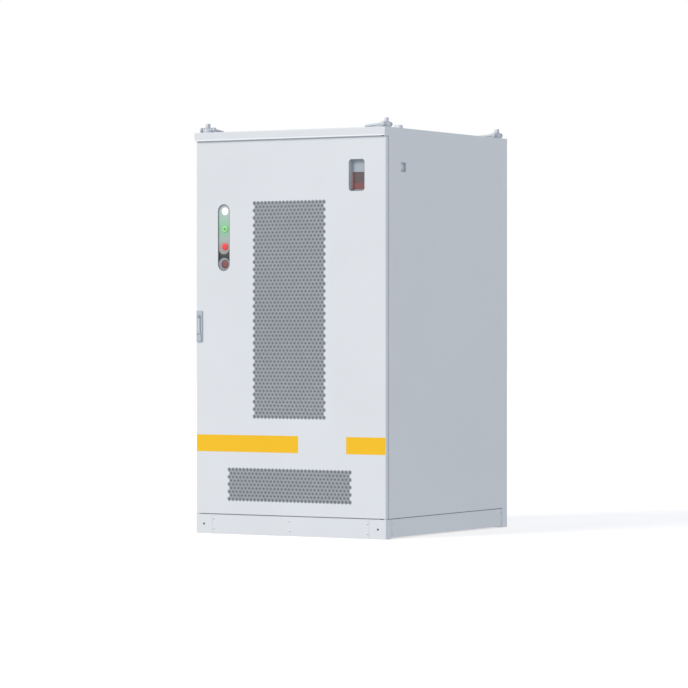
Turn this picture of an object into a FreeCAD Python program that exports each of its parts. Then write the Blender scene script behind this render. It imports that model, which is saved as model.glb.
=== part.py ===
import FreeCAD, Part
import math
import os
import re
import Sketcher

Vector = FreeCAD.Vector
Rotation = FreeCAD.Rotation

doc = FreeCAD.newDocument("BatteryCabinet")
sheet_sizes = doc.addObject("Spreadsheet::Sheet", "Sizes")
subparts = []

# Driving dimensions in millimetres; a few are plain counts or angles
sizes = {
    # Overall cabinet
    "door_width": 1120,  # door and plinth, side to side
    "cabinet_depth": 1280,  # door face to rear panel
    "cabinet_height": 2050,  # floor to roof
    "plinth_height": 98,  # plinth under the body
    "door_gap": 4,  # gap above and below the door, and under the panels
    "door_seam": 3,  # gap between the door's back edge and the side panel
    "sheet": 2,  # sheet steel of the casing
    "side_proud": 2.5,  # side panel stands proud of the door's side
    "panel_depth": 15,  # folded depth of side and rear panels
    "fascia_height": 43.5,  # roof fascia
    "fascia_reach": 16,  # roof fascia in front of the door face
    "roof_plate": 4,  # roof plate with its hem
    "roof_bend": 5,  # bend radius along the roof's front edge
    # Plinth
    "corner_front": 96,  # plinth corner along the front
    "corner_side": 56,  # plinth corner along the side
    "corner_wall": 3,  # plinth corner wall and top
    "foot_plate": 5,  # plinth corner foot
    "anchor_hole": 14,  # floor anchor hole in each foot
    "anchor_from_end": 46,  # anchor and side hole from the cabinet's side
    "anchor_from_front": 30,  # anchor hole from the plinth face
    "tie_hole": 11,  # round hole in the front of each plinth corner
    "plinth_rail": 40,  # square plinth rail
    "cover_seam": 1.2,  # seam between plinth cover and corner
    "end_cover_lift": 1.5,  # front and rear plinth cover above the floor
    "side_cover_lift": 6.5,  # side plinth cover above the floor
    "cover_screw_in": 9.5,  # cover screw from the end of its cover
    "cover_screw_low": 25.5,  # lower row of cover screws
    "cover_screw_high": 75.5,  # upper row of cover screws
    "screw_head": 9,  # cover screw head
    "screw_head_high": 2.4,  # cover screw head height
    "screw_shank": 5,  # cover screw shank
    # Body frame
    "post_width": 50,  # square corner post
    "post_wall": 3,  # wall of the frame tubes
    "post_cap": 20,  # solid cap on a post, threaded for the hoist bolt
    "post_set_back": 44,  # door face to the front posts
    "top_rail_high": 80,  # top rail depth
    "bottom_rail_high": 50,  # bottom rail depth
    "floor_plate": 3,  # cabinet floor
    "gland_plate_wide": 360,  # removable gland plate
    "gland_plate_deep": 120,  # removable gland plate, front to back
    "gland_plate_from_rear": 140,  # gland plate's middle to the rear face
    "gland_plate_lap": 12,  # gland plate lap on the floor
    "gland_pitch": 100,  # cable glands, centre to centre
    "gland_bore": 22,  # cable way through a gland
    "gland_body": 36,  # gland body and nut, across
    "gland_long": 46,  # gland from end to end
    "gland_neck": 28,  # gland thread through its plate
    # Rear panel
    "louvre_count": 8,  # louvres in the rear panel
    "louvre_wide": 360,  # louvre length
    "louvre_pitch": 42,  # louvres, centre to centre
    "louvre_slot": 14,  # louvre slot height
    "louvre_blade": 20,  # sloped length of a louvre
    "louvre_angle": 35,  # louvre from upright, degrees
    "louvres_from_roof": 490,  # middle of the louvre field below the roof
    # Roof fittings
    "ring_from_side": 32,  # hoist ring from the cabinet's side
    "ring_from_front": 60,  # front hoist ring from the door face
    "ring_from_rear": 50,  # rear hoist ring from the rear face
    "swivel_across": 50,  # hoist ring swivel body across flats
    "swivel_high": 26,  # hoist ring swivel body height
    "shoulder": 22,  # hoist bolt shoulder inside the swivel body
    "hoist_thread": 16,  # hoist bolt thread
    "hoist_head": 30,  # hoist bolt head across corners
    "hoist_head_high": 23,  # hoist bolt head height
    "hoist_collar": 36,  # washer face under the head
    "bail_bar": 14,  # bail bar
    "bail_half_width": 38,  # bail leg from the swivel axis, at the bar's middle
    "bail_reach": 112,  # bail from the swivel axis to the far end, at the bar's middle
    "bail_pivot_high": 17,  # bail pivot above the roof
    "bail_corner": 6,  # cut across each bend between bail pin and leg
    "bail_tuck": 19,  # bail pin's inner end from the swivel axis
    "running": 0.05,  # radial running clearance
    "seat": 0.3,  # gap at a loose seat
    "pod_wide": 38,  # roof antenna pod
    "pod_deep": 35,  # roof antenna pod
    "pod_high": 22,  # roof antenna pod
    "pod_from_side": 40,  # pod from the cabinet's side
    "pod_from_front": 210,  # pod from the door face
    "pod_bevel": 5,  # bevel along the pod's edges
    # Side breather
    "breather_size": 50,  # side breather pocket
    "breather_deep": 12,  # side breather pocket depth
    "breather_from_roof": 195,  # side breather's middle below the roof
    "breather_back": 173,  # side breather behind the door face
    "breather_boss": 13,  # radius of the boss in the pocket
    # Door
    "door_depth": 24,  # folded depth of the door
    "door_flange": 56,  # folded flange behind the door's edge
    "door_bend": 3,  # bend radius of the door's front edges
    "tall_field_wide": 438,  # tall perforated field
    "tall_field_high": 1113,  # tall perforated field
    "tall_field_middle": 1141.5,  # tall field's middle above the floor
    "low_field_wide": 741,  # low perforated field
    "low_field_high": 174.5,  # low perforated field
    "low_field_middle": 255,  # low field's middle above the floor
    "screen_margin": 14,  # plain border round a perforated field
    "cell_pitch": 100,  # hexagon to hexagon along a row
    "cell_flats": 88,  # hexagon across flats
    "slot_wide": 72,  # status slot
    "slot_high": 342,  # status slot
    "slot_from_middle": 394,  # status slot left of the cabinet's middle
    "slot_middle": 1511.5,  # status slot's middle above the floor
    "window_wide": 92,  # alarm window
    "window_high": 160,  # alarm window
    "window_round": 16,  # alarm window corner radius
    "window_from_middle": 392,  # alarm window right of the cabinet's middle
    "window_from_roof": 236.5,  # alarm window's middle below the roof
    "tray_wall": 2,  # wall of the trays behind the windows
    "alarm_recess": 28,  # alarm face behind the door face
    "alarm_split": 16,  # grey top of the alarm begins this far above its middle
    "alarm_lap": 6,  # alarm reaches this far past its window
    "alarm_body_deep": 36,  # alarm body
    "lens_deep": 20,  # alarm lens
    "lens_side": 5,  # clear space each side of the alarm lens
    "lens_low": 10,  # alarm lens above the window's lower edge
    "lamp_pitch": 90,  # status lamps, centre to centre
    "lamp_across": 36,  # status lamp lens
    "lamp_aside": 5,  # lamps and stop button right of the slot's middle
    "lamp_barrel": 22,  # status lamp barrel
    "lamp_recess": 2,  # lamp lens behind the door face
    "tray_deep": 7,  # status tray behind the door's sheet
    "lamp_barrel_long": 20,  # lamp barrel behind the status tray
    "stop_below": 136,  # stop button's middle below the slot's middle
    "stop_plate": 67,  # round plate of the stop button
    "stop_plate_thick": 2.5,  # round plate of the stop button
    "stop_head": 40,  # stop button head
    "stop_head_high": 10,  # stop button head
    "stop_stem": 20,  # stop button stem
    "stop_cup": 48,  # cup that guards the stop button's head
    "stop_cup_inside": 43,  # room for the head in its cup
    "stop_cup_deep": 18,  # cup behind the status tray's face
    "stop_recess": 5,  # stop button head behind the door face
    "stiffener": 40,  # door stiffener width
    "stiffener_from_field": 20,  # stiffener from the tall field
    "stiffener_low": 400,  # lower cross stiffener above the floor
    "stiffener_from_roof": 125,  # upper cross stiffener below the roof
    "filter_thick": 12,  # filter mat behind a perforated field
    "seal_wide": 14,  # door seal
    "seal_inset": 38,  # door edge to the seal's outer side
    # Door pivots
    "pivot_inset": 8,  # pivot axis from the door's side
    "pivot_pin": 10,  # pivot pin
    "pivot_collar": 20,  # thrust collar of a pivot pin
    "pivot_reach": 14,  # pivot pin inside the door
    "pivot_block": 30,  # pivot block height
    # Swing handle and rod lock
    "handle_from_side": 21,  # handle axis from the door's left edge
    "handle_wide": 33,  # handle base
    "handle_high": 159,  # handle base
    "handle_middle": 1059,  # handle base's middle above the floor
    "handle_base_thick": 7,  # handle base
    "handle_round": 3,  # corner radius of the handle base
    "hub_high": 34,  # hub block
    "hub_wide": 28,  # hub block
    "hub_thick": 8,  # hub block
    "hub_up": 22,  # hub axis above the base's lower end
    "ear_wide": 4,  # hub ear beside the lever
    "lever_wide": 20,  # handle lever
    "lever_thick": 7,  # handle lever
    "lever_long": 97,  # lever from its pin to its arched end
    "lever_pin": 3,  # lever pin
    "pin_above_hub": 6,  # lever pin above the hub block
    "lock_across": 11,  # lock plug
    "lock_from_end": 12.5,  # lock plug from the lever's arched end
    "spindle": 12,  # handle spindle
    "cam_across": 34,  # lock cam
    "cam_thick": 2,  # lock cam
    "rod_across": 10,  # lock rod
    "rod_set_back": 34,  # door face to the lock rods' axis
    "keeper_high": 14,  # rod keeper
    "keeper_wide": 16,  # rod keeper
    "keeper_in": 10,  # rod keeper inside the frame opening's edge
    "guide_high": 14,  # rod guide
    "guide_wide": 16,  # rod guide
    # Cooling unit on the door
    "cooler_wide": 500,  # cooling unit
    "cooler_high": 1150,  # cooling unit
    "cooler_deep": 180,  # cooling unit
    "cooler_wall": 2,  # cooling unit casing
    "coil_high": 420,  # condenser coil
    "coil_thick": 60,  # condenser coil
    "coil_low": 60,  # condenser coil above the unit's lower end
    "fan_across": 300,  # fan rotor
    "fan_hub": 90,  # fan hub
    "fan_depth": 40,  # fan hub depth
    "fan_blades": 5,  # fan blades
    "fan_blade_wide": 78,  # fan blade
    "fan_blade_thick": 3,  # fan blade
    "fan_angle": 28,  # fan blade angle, degrees
    "fan_rise": 250,  # fan axis above the cooling unit's middle
    "fan_clear": 12,  # fan ring outside the blades
    "fan_shaft": 12,  # fan motor shaft
    "fan_motor": 70,  # fan motor
    "fan_motor_long": 30,  # fan motor
    "outlet_wide": 340,  # cold air outlet
    "outlet_high": 90,  # cold air outlet
    "outlet_rise": 120,  # cold air outlet's middle above the unit's lower end
    # Rack and equipment
    "rack_front": 300,  # door face to the front of the rack
    "rack_upright": 20,  # rack upright
    "rack_head_room": 150,  # top of the rack uprights below the roof
    "column_offset": 255,  # rack column's middle from the cabinet's middle
    "module_wide": 440,  # battery module
    "rack_back_room": 280,  # back of the battery modules to the rear face
    "module_gap": 18,  # gap between battery modules, with the shelf in it
    "module_plate": 3,  # battery module front plate
    "module_lap": 16,  # front plate over the rack upright, each side
    "module_base": 165,  # lowest shelf above the floor
    "count_left": 8,  # battery modules in the left column
    "count_right": 6,  # battery modules in the right column
    "module_shoulder": 12,  # sloped shoulder along a module's top
    "grip_wide": 14,  # module grip bar
    "grip_high": 90,  # module grip bar
    "grip_throw": 28,  # module grip in front of its plate
    "grip_from_middle": 185,  # module grip from the module's middle
    "shelf_thick": 2,  # module shelf bar
    "shelf_wide": 24,  # module shelf bar
    "link_wide": 18,  # module link bar
    "link_thick": 4,  # module link bar
    "link_from_middle": 90,  # module link from the module's middle
    "box_high": 200,  # switchgear box
    "box_head_room": 15,  # switchgear box below the top of the rack
    "inverter_head_room": 35,  # inverter below the top of the rack
    "fin_count": 7,  # inverter ribs
    "breaker_wide": 60,  # breaker on the switchgear box
    "breaker_high": 110,  # breaker on the switchgear box
    "breaker_deep": 24,  # breaker on the switchgear box
    "toggle_wide": 18,  # breaker toggle
    "toggle_long": 34,  # breaker toggle
    "toggle_pin": 5,  # breaker toggle pin
    "toggle_angle": 30,  # toggle above level while the breaker is on, degrees
    "toggle_hub": 8,  # breaker toggle hub radius
    "bottle_across": 90,  # fire suppression canister
    "bottle_long": 260,  # fire suppression canister
    "bottle_from_rear": 210,  # canister's middle to the rear face
}

# Sizes that follow from the ones above, so that what is inside keeps to the casing
worked_out = {
    "rack_top": "cabinet_height - rack_head_room",
    "module_deep": "cabinet_depth - rack_front - rack_back_room",
    "module_pitch": "(rack_top - box_head_room - box_high - module_base) / count_left",
    "module_high": "module_pitch - module_gap",
    "inverter_high": "rack_top - inverter_head_room - module_base - count_right * module_pitch",
    "bottle_back": "cabinet_depth / 2 - bottle_from_rear",
    "gland_plate_back": "cabinet_depth / 2 - gland_plate_from_rear",
    "stiffener_top": "cabinet_height - stiffener_from_roof",
    "window_middle": "cabinet_height - window_from_roof",
    "breather_high": "cabinet_height - breather_from_roof",
    "louvre_middle": "cabinet_height - louvres_from_roof",
}

for row, (alias, value) in enumerate(list(sizes.items()) + list(worked_out.items()), start=1):
    sheet_sizes.set("A%d" % row, "'" + alias.replace("_", " "))
    sheet_sizes.set("B%d" % row, "=" + value if alias in worked_out else str(value))
    sheet_sizes.setAlias("B%d" % row, alias)
doc.recompute()


def number(alias):
    """The value that a driving dimension has now."""
    return float(getattr(sheet_sizes, alias))


def formula(text):
    """An expression with each driving dimension's name pointed at the sheet."""
    return re.sub(r"[a-z]+(_[a-z]+)*", point_at_sheet, str(text))


def point_at_sheet(match):
    word = match.group(0)
    return "Sizes." + word if word in sizes or word in worked_out else word


def bind(thing, prop, text):
    thing.setExpression(prop, formula(text))


def place(thing, x, y, z, rotation=None):
    if rotation is not None:
        thing.Placement = FreeCAD.Placement(Vector(0, 0, 0), rotation)
    bind(thing, "Placement.Base.x", x)
    bind(thing, "Placement.Base.y", y)
    bind(thing, "Placement.Base.z", z)
    return thing


def subpart(thing, label):
    """Marks an object as one of the cabinet's named pieces."""
    thing.Label = label
    subparts.append(thing)
    return thing


# Simple solids

AXES = {
    "+x": Rotation(Vector(0, 1, 0), 90),
    "-x": Rotation(Vector(0, 1, 0), -90),
    "+y": Rotation(Vector(1, 0, 0), -90),
    "-y": Rotation(Vector(1, 0, 0), 90),
    "+z": Rotation(),
    "-z": Rotation(Vector(1, 0, 0), 180),
}


def block(name, middle, span):
    """A box with its middle at (x, y, z) and its size (x, y, z)."""
    solid = doc.addObject("Part::Box", name)
    bind(solid, "Length", span[0])
    bind(solid, "Width", span[1])
    bind(solid, "Height", span[2])
    corner = ["(%s) - (%s) / 2" % pair for pair in zip(middle, span)]
    return place(solid, corner[0], corner[1], corner[2])


def cylinder(name, start, across, length, axis):
    """A cylinder from its start point along an axis."""
    solid = doc.addObject("Part::Cylinder", name)
    bind(solid, "Radius", "(%s) / 2" % across)
    bind(solid, "Height", length)
    return place(solid, start[0], start[1], start[2], AXES[axis])


def prism(name, start, across_corners, length, axis, sides=12):
    """A regular prism along an axis, also for round pieces that nothing turns on."""
    solid = doc.addObject("Part::Prism", name)
    solid.Polygon = sides
    bind(solid, "Circumradius", "(%s) / 2" % across_corners)
    bind(solid, "Height", length)
    return place(solid, start[0], start[1], start[2], AXES[axis])


def cut(name, base, tools):
    """The base solid with every tool taken away."""
    tool = tools[0] if len(tools) == 1 else join(name + "_tools", tools)
    result = doc.addObject("Part::Cut", name)
    result.Base = base
    result.Tool = tool
    return result


def join(name, pieces):
    """Solids that are made in one piece."""
    result = doc.addObject("Part::MultiFuse", name)
    result.Shapes = pieces
    result.Refine = True
    return result


def group(name, pieces):
    """Separate solids that share one node."""
    result = doc.addObject("Part::Compound", name)
    result.Links = pieces
    return result


def tube(name, middle, span, wall, axis):
    """A rectangular tube, open at both ends along an axis index."""
    inner = ["(%s) - 2 * (%s)" % (width, wall) for width in span]
    inner[axis] = "(%s) + 2" % span[axis]
    outer = block(name + "_outer", middle, span)
    return cut(name, outer, [block(name + "_inner", middle, inner)])


# Sketch-based solids

def new_body(name):
    return doc.addObject("PartDesign::Body", name)


def sketch_on(body, name, role, offset="0"):
    sketch = body.newObject("Sketcher::SketchObject", name)
    plane = [f for f in body.Origin.OriginFeatures if f.Role == role][0]
    sketch.AttachmentSupport = [(plane, "")]
    sketch.MapMode = "FlatFace"
    bind(sketch, "AttachmentOffset.Base.z", offset)
    return sketch


def pin_point(sketch, index, position, across, up):
    """Ties one point of the sketch to its two coordinates."""
    for kind, text in (("DistanceX", across), ("DistanceY", up)):
        rule = sketch.addConstraint(Sketcher.Constraint(kind, -1, 1, index, position, 1.0))
        bind(sketch, "Constraints[%d]" % rule, text)


def outline(sketch, points):
    """A closed outline through the given points."""
    first = sketch.GeometryCount
    count = len(points)
    for step in range(count):
        start = Vector(step, step * step, 0)
        after = (step + 1) % count
        sketch.addGeometry(Part.LineSegment(start, Vector(after, after * after, 0)), False)
    for step in range(count):
        after = first + (step + 1) % count
        sketch.addConstraint(Sketcher.Constraint("Coincident", first + step, 2, after, 1))
    for step, (across, up) in enumerate(points):
        pin_point(sketch, first + step, 1, across, up)


def rectangle(sketch, left, bottom, right, top):
    outline(sketch, [(left, bottom), (right, bottom), (right, top), (left, top)])


def circle(sketch, across, up, diameter):
    index = sketch.addGeometry(Part.Circle(Vector(1, 1, 0), Vector(0, 0, 1), 3), False)
    pin_point(sketch, index, 3, across, up)
    rule = sketch.addConstraint(Sketcher.Constraint("Radius", index, 3.0))
    bind(sketch, "Constraints[%d]" % rule, "(%s) / 2" % diameter)


def pad(body, sketch, length, away=False):
    feature = body.newObject("PartDesign::Pad", sketch.Name + "_pad")
    feature.Profile = sketch
    bind(feature, "Length", length)
    feature.Reversed = away
    return feature


def pocket(body, sketch, length, away=False):
    """A pocket that has to take material away."""
    doc.recompute()
    before = body.Shape.Volume
    feature = body.newObject("PartDesign::Pocket", sketch.Name + "_pocket")
    feature.Profile = sketch
    bind(feature, "Length", length)
    feature.Reversed = away
    doc.recompute()
    if body.Shape.Volume >= before - 0.001:
        raise RuntimeError(sketch.Name + " cuts nothing")
    return feature


def round_edges(body, radius, chosen, kind="PartDesign::Fillet", prop="Radius"):
    """Rounds, or bevels, the edges of the body's last feature that the rule picks."""
    doc.recompute()
    base = body.Tip
    names = []
    for index, edge in enumerate(base.Shape.Edges):
        if chosen(edge):
            names.append("Edge%d" % (index + 1))
    feature = body.newObject(kind, body.Name + "_round%d" % len(body.Group))
    feature.Base = (base, names)
    bind(feature, prop, radius)
    return feature


def runs_along(edge, axis):
    """True for a straight edge parallel to an axis index."""
    if edge.Curve.TypeId != "Part::GeomLine":
        return False
    direction = edge.Curve.Direction
    return abs(direction[axis]) > 0.999


def near(value, target):
    return abs(value - target) < 0.01


# Places that several pieces share

FRONT = "cabinet_depth / 2"
OUTER = "(door_width / 2 + side_proud)"
POST_X = "(door_width / 2 + side_proud - panel_depth - post_width / 2)"
POST_FRONT_Y = "(-cabinet_depth / 2 + post_set_back + post_width / 2)"
POST_REAR_Y = "(cabinet_depth / 2 - panel_depth - post_width / 2)"
PANEL_BASE = "(plinth_height + door_gap)"
PANEL_TOP = "(cabinet_height - roof_plate)"
FASCIA_BASE = "(cabinet_height - fascia_height)"
DOOR_BASE = "(plinth_height + door_gap)"
DOOR_TOP = "(cabinet_height - fascia_height - door_gap)"
PANEL_FRONT_Y = "(-cabinet_depth / 2 + door_depth + door_seam)"
DOOR_BACK_Y = "(-cabinet_depth / 2 + door_depth)"
HANDLE_X = "(-door_width / 2 + handle_from_side)"
HUB_Z = "(handle_middle - handle_high / 2 + hub_up)"
PIVOT_X = "(door_width / 2 - pivot_inset)"
PIVOT_Y = "(-cabinet_depth / 2 + door_depth / 2)"
RING_X = "(door_width / 2 - ring_from_side)"
RING_FRONT_Y = "(-cabinet_depth / 2 + ring_from_front)"
RING_REAR_Y = "(cabinet_depth / 2 - ring_from_rear)"
SIDES = (("left", "-"), ("right", ""))
ENDS = (("front", "-"), ("rear", ""))


def build_plinth():
    """Folded corner boxes with feet, tube rails, screwed covers and their screws."""
    corners = []
    for side, sx in SIDES:
        for end, sy in ENDS:
            corners.append(plinth_corner(side + "_" + end, sx, sy))
    subpart(group("plinth_corners_group", corners), "plinth_corners")

    rails = []
    rail_z = "plinth_height - plinth_rail / 2"
    size_x = "door_width - 2 * corner_front"
    size_y = "cabinet_depth - 2 * corner_side"
    for end, sy in ENDS:
        middle_y = sy + "(cabinet_depth / 2 - sheet - plinth_rail / 2)"
        name = "plinth_rail_" + end
        rails.append(tube(name, ("0", middle_y, rail_z), (size_x, "plinth_rail", "plinth_rail"),
                          "corner_wall", 0))
    for side, sx in SIDES:
        middle_x = sx + "(door_width / 2 - sheet - plinth_rail / 2)"
        name = "plinth_rail_" + side
        rails.append(tube(name, (middle_x, "0", rail_z), ("plinth_rail", size_y, "plinth_rail"),
                          "corner_wall", 1))
    subpart(group("plinth_rails_group", rails), "plinth_rails")

    screws = []
    covers = build_end_covers(screws) + build_side_covers(screws)
    subpart(group("covers_group", covers), "plinth_covers")
    subpart(group("cover_screws_group", screws), "plinth_screws")


def plinth_corner(name, sx, sy):
    """One folded corner, open towards the inside. The rear ones have a cheek that closes the
    gap under the side panel."""
    middle = (sx + "(door_width - corner_front) / 2", sy + "(cabinet_depth - corner_side) / 2")
    outer = block(name + "_outer", (middle[0], middle[1], "plinth_height / 2"),
                  ("corner_front", "corner_side", "plinth_height"))
    hollow_x = sx + "((door_width - corner_front) / 2 - corner_wall)"
    hollow_y = sy + "((cabinet_depth - corner_side) / 2 - corner_wall)"
    hollow = block(name + "_hollow",
                   (hollow_x, hollow_y, "(plinth_height + foot_plate - corner_wall) / 2"),
                   ("corner_front", "corner_side", "plinth_height - foot_plate - corner_wall"))
    anchor_x = sx + "(door_width / 2 - anchor_from_end)"
    anchor_y = sy + "(cabinet_depth / 2 - anchor_from_front)"
    anchor = cylinder(name + "_anchor", (anchor_x, anchor_y, "-1"),
                      "anchor_hole", "foot_plate + 2", "+z")
    tie_y = sy + "(cabinet_depth / 2 - 2 * corner_wall)"
    tie = cylinder(name + "_tie", (anchor_x, tie_y, "plinth_height / 2"),
                   "tie_hole", "4 * corner_wall", "-y" if sy else "+y")
    tools = [hollow, anchor, tie]
    if sx == "" and sy == "-":
        tools.append(cylinder(name + "_pivot", (PIVOT_X, PIVOT_Y, "plinth_height - 2 * corner_wall"),
                              "pivot_pin + 2 * running", "4 * corner_wall", "+z"))
    corner = cut(name + "_corner", outer, tools)
    if sy == "-":
        return corner
    cheek = block(name + "_cheek",
                  (sx + "(door_width + side_proud) / 2", middle[1],
                   "(plinth_height + door_gap - seat) / 2"),
                  ("side_proud", "corner_side", "plinth_height + door_gap - seat"))
    return join(name + "_with_cheek", [corner, cheek])


def screw(name, start, axis, opposite):
    """A hexagon screw standing on a surface point, its thread drawn with six flats."""
    head = prism(name + "_head", start, "screw_head", "screw_head_high", axis, 6)
    shank = prism(name + "_shank", start, "screw_shank", "sheet", opposite, 6)
    return join(name, [head, shank])


def build_end_covers(screws):
    """Front and rear plinth covers between the corners, held by six screws each."""
    covers = []
    wide = "door_width - 2 * corner_front - 2 * cover_seam"
    screw_x = "(door_width / 2 - corner_front - cover_screw_in)"
    for end, sy in ENDS:
        outward, inward = ("-y", "+y") if sy else ("+y", "-y")
        middle_y = sy + "(cabinet_depth / 2 - sheet / 2)"
        plate = block("cover_" + end + "_plate",
                      ("0", middle_y, "(plinth_height + end_cover_lift) / 2"),
                      (wide, "sheet", "plinth_height - end_cover_lift"))
        holes = []
        for column, across in enumerate(("-" + screw_x, "0", screw_x)):
            for row, up in enumerate(("cover_screw_low", "cover_screw_high")):
                name = "screw_%s_%d_%d" % (end, column, row)
                surface = sy + "(cabinet_depth / 2)"
                screws.append(screw(name, (across, surface, up), outward, inward))
                holes.append(prism(name + "_hole", (across, surface, up),
                                   "screw_shank + 2 * running", "2 * sheet", inward, 6))
        covers.append(cut("cover_" + end, plate, holes))
    return covers


def build_side_covers(screws):
    """Side plinth covers, raised a little above the floor."""
    covers = []
    long = "cabinet_depth - 2 * corner_side - 2 * cover_seam"
    screw_y = "(cabinet_depth / 2 - corner_side - cover_screw_in)"
    for side, sx in SIDES:
        outward, inward = ("-x", "+x") if sx else ("+x", "-x")
        middle_x = sx + "(door_width / 2 - sheet / 2)"
        plate = block("cover_" + side + "_plate",
                      (middle_x, "0", "(plinth_height + side_cover_lift) / 2"),
                      ("sheet", long, "plinth_height - side_cover_lift"))
        holes = []
        for column, along in enumerate(("-" + screw_y, "0", screw_y)):
            for row, up in enumerate(("cover_screw_low", "cover_screw_high")):
                name = "screw_%s_%d_%d" % (side, column, row)
                surface = sx + "(door_width / 2)"
                screws.append(screw(name, (surface, along, up), outward, inward))
                holes.append(prism(name + "_hole", (surface, along, up),
                                   "screw_shank + 2 * running", "2 * sheet", inward, 6))
        covers.append(cut("cover_" + side, plate, holes))
    return covers


def build_frame():
    """Four corner posts and eight rails of square tube, the floor and the gland plate."""
    posts = []
    for side, sx in SIDES:
        for end, post_y, ring_y in (("front", POST_FRONT_Y, RING_FRONT_Y),
                                    ("rear", POST_REAR_Y, RING_REAR_Y)):
            posts.append(frame_post(side + "_" + end, sx, post_y, ring_y))
    subpart(group("frame_posts_group", posts), "frame_posts")

    rails = []
    span_x = "(door_width + 2 * side_proud - 2 * panel_depth - 2 * post_width)"
    span_y = "(cabinet_depth - panel_depth - post_set_back - 2 * post_width)"
    middle_y = "(post_set_back - panel_depth) / 2"
    for level, height, middle_z in (
            ("low", "bottom_rail_high", "plinth_height + bottom_rail_high / 2"),
            ("top", "top_rail_high", PANEL_TOP + " - top_rail_high / 2")):
        for end, rail_y in (("front", POST_FRONT_Y), ("rear", POST_REAR_Y)):
            rails.append(tube("rail_%s_%s" % (level, end), ("0", rail_y, middle_z),
                              (span_x, "post_width", height), "post_wall", 0))
        for side, sx in SIDES:
            rails.append(tube("rail_%s_%s" % (level, side), (sx + POST_X, middle_y, middle_z),
                              ("post_width", span_y, height), "post_wall", 1))
    subpart(group("frame_rails_group", rails), "frame_rails")
    build_floor(span_x, span_y, middle_y)


def frame_post(name, sx, post_y, ring_y):
    """A square tube with a solid cap that takes the hoist bolt."""
    length = "(%s - plinth_height)" % PANEL_TOP
    outer = block(name + "_post", (sx + POST_X, post_y, "plinth_height + %s / 2" % length),
                  ("post_width", "post_width", length))
    bore = block(name + "_bore",
                 (sx + POST_X, post_y, "plinth_height + (%s - post_cap) / 2 - 1" % length),
                 ("post_width - 2 * post_wall", "post_width - 2 * post_wall",
                  "%s - post_cap + 2" % length))
    thread = prism(name + "_thread", (sx + RING_X, ring_y, PANEL_TOP + " - post_cap - 1"),
                   "hoist_thread + 2 * running", "post_cap + 2", "+z", 8)
    return cut(name + "_frame_post", outer, [bore, thread])


def build_floor(span_x, span_y, middle_y):
    """The floor between the posts, with a gland plate over its cable opening."""
    floor_z = "(plinth_height + bottom_rail_high + floor_plate / 2)"
    floor = block("floor_blank", ("0", middle_y, floor_z),
                  (span_x + " + post_width", span_y, "floor_plate"))
    opening = block("floor_opening", ("0", "gland_plate_back", floor_z),
                    ("gland_plate_wide - 2 * gland_plate_lap",
                     "gland_plate_deep - 2 * gland_plate_lap", "3 * floor_plate"))
    subpart(cut("floor_cut", floor, [opening]), "floor_pan")

    plate_z = "(plinth_height + bottom_rail_high + floor_plate)"
    plate = block("gland_blank", ("0", "gland_plate_back", plate_z + " + sheet / 2"),
                  ("gland_plate_wide", "gland_plate_deep", "sheet"))
    holes = []
    glands = []
    for index, across in enumerate(("-gland_pitch", "0", "gland_pitch")):
        holes.append(prism("gland_hole_%d" % index,
                           (across, "gland_plate_back", plate_z + " - sheet"),
                           "gland_neck + 2 * running", "4 * sheet", "+z", 8))
        glands.append(gland("gland_%d" % index, across, plate_z))
    subpart(cut("gland_plate_cut", plate, holes), "gland_plate")
    subpart(group("glands_group", glands), "cable_glands")


def gland(name, across, plate_z):
    """A cable gland: hexagon nut above the plate, dome nut below, one clear bore."""
    nut_high = "gland_long / 4"
    above = prism(name + "_nut", (across, "gland_plate_back", plate_z + " + sheet"),
                  "gland_body", nut_high, "+z", 6)
    neck = prism(name + "_neck", (across, "gland_plate_back", plate_z + " - gland_long / 2"),
                 "gland_neck", "gland_long", "+z", 8)
    dome = prism(name + "_dome",
                 (across, "gland_plate_back", plate_z + " - gland_long / 2"),
                 "gland_body", "gland_long / 2", "+z", 6)
    bore = cylinder(name + "_bore", (across, "gland_plate_back", plate_z + " - gland_long"),
                    "gland_bore", "2 * gland_long", "+z")
    return cut(name, join(name + "_body", [above, neck, dome]), [bore])


def build_side_panels():
    """Side panels: one sheet up to the roof with a nose beside the fascia, and folded edges."""
    for side, sx in SIDES:
        body = new_body("side_panel_%s_body" % side)
        subpart(body, "side_panel_" + side)
        rear_y = "(cabinet_depth / 2)"
        nose_y = "(-cabinet_depth / 2 - fascia_reach + sheet)"
        inner_plane = sx + "(%s - sheet)" % OUTER
        sheet_face = sketch_on(body, side + "_sheet", "YZ_Plane", inner_plane)
        outline(sheet_face, [
            (PANEL_FRONT_Y, PANEL_BASE), (rear_y, PANEL_BASE), (rear_y, PANEL_TOP),
            (nose_y, PANEL_TOP), (nose_y, FASCIA_BASE), (PANEL_FRONT_Y, FASCIA_BASE)])
        pad(body, sheet_face, "sheet", away=(sx == "-"))
        fold = sketch_on(body, side + "_fold", "YZ_Plane", inner_plane)
        rectangle(fold, PANEL_FRONT_Y, PANEL_BASE, rear_y, PANEL_TOP)
        rectangle(fold, PANEL_FRONT_Y + " + sheet", PANEL_BASE + " + sheet",
                  rear_y + " - sheet", PANEL_TOP + " - sheet")
        pad(body, fold, "panel_depth - sheet", away=(sx == ""))
        if side == "right":
            opening = sketch_on(body, "breather_opening", "YZ_Plane", "%s + 1" % OUTER)
            middle_y = "(-cabinet_depth / 2 + breather_back)"
            rectangle(opening, middle_y + " - breather_size / 2",
                      "breather_high - breather_size / 2",
                      middle_y + " + breather_size / 2", "breather_high + breather_size / 2")
            pocket(body, opening, "2 * sheet")
    build_breather()


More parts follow.
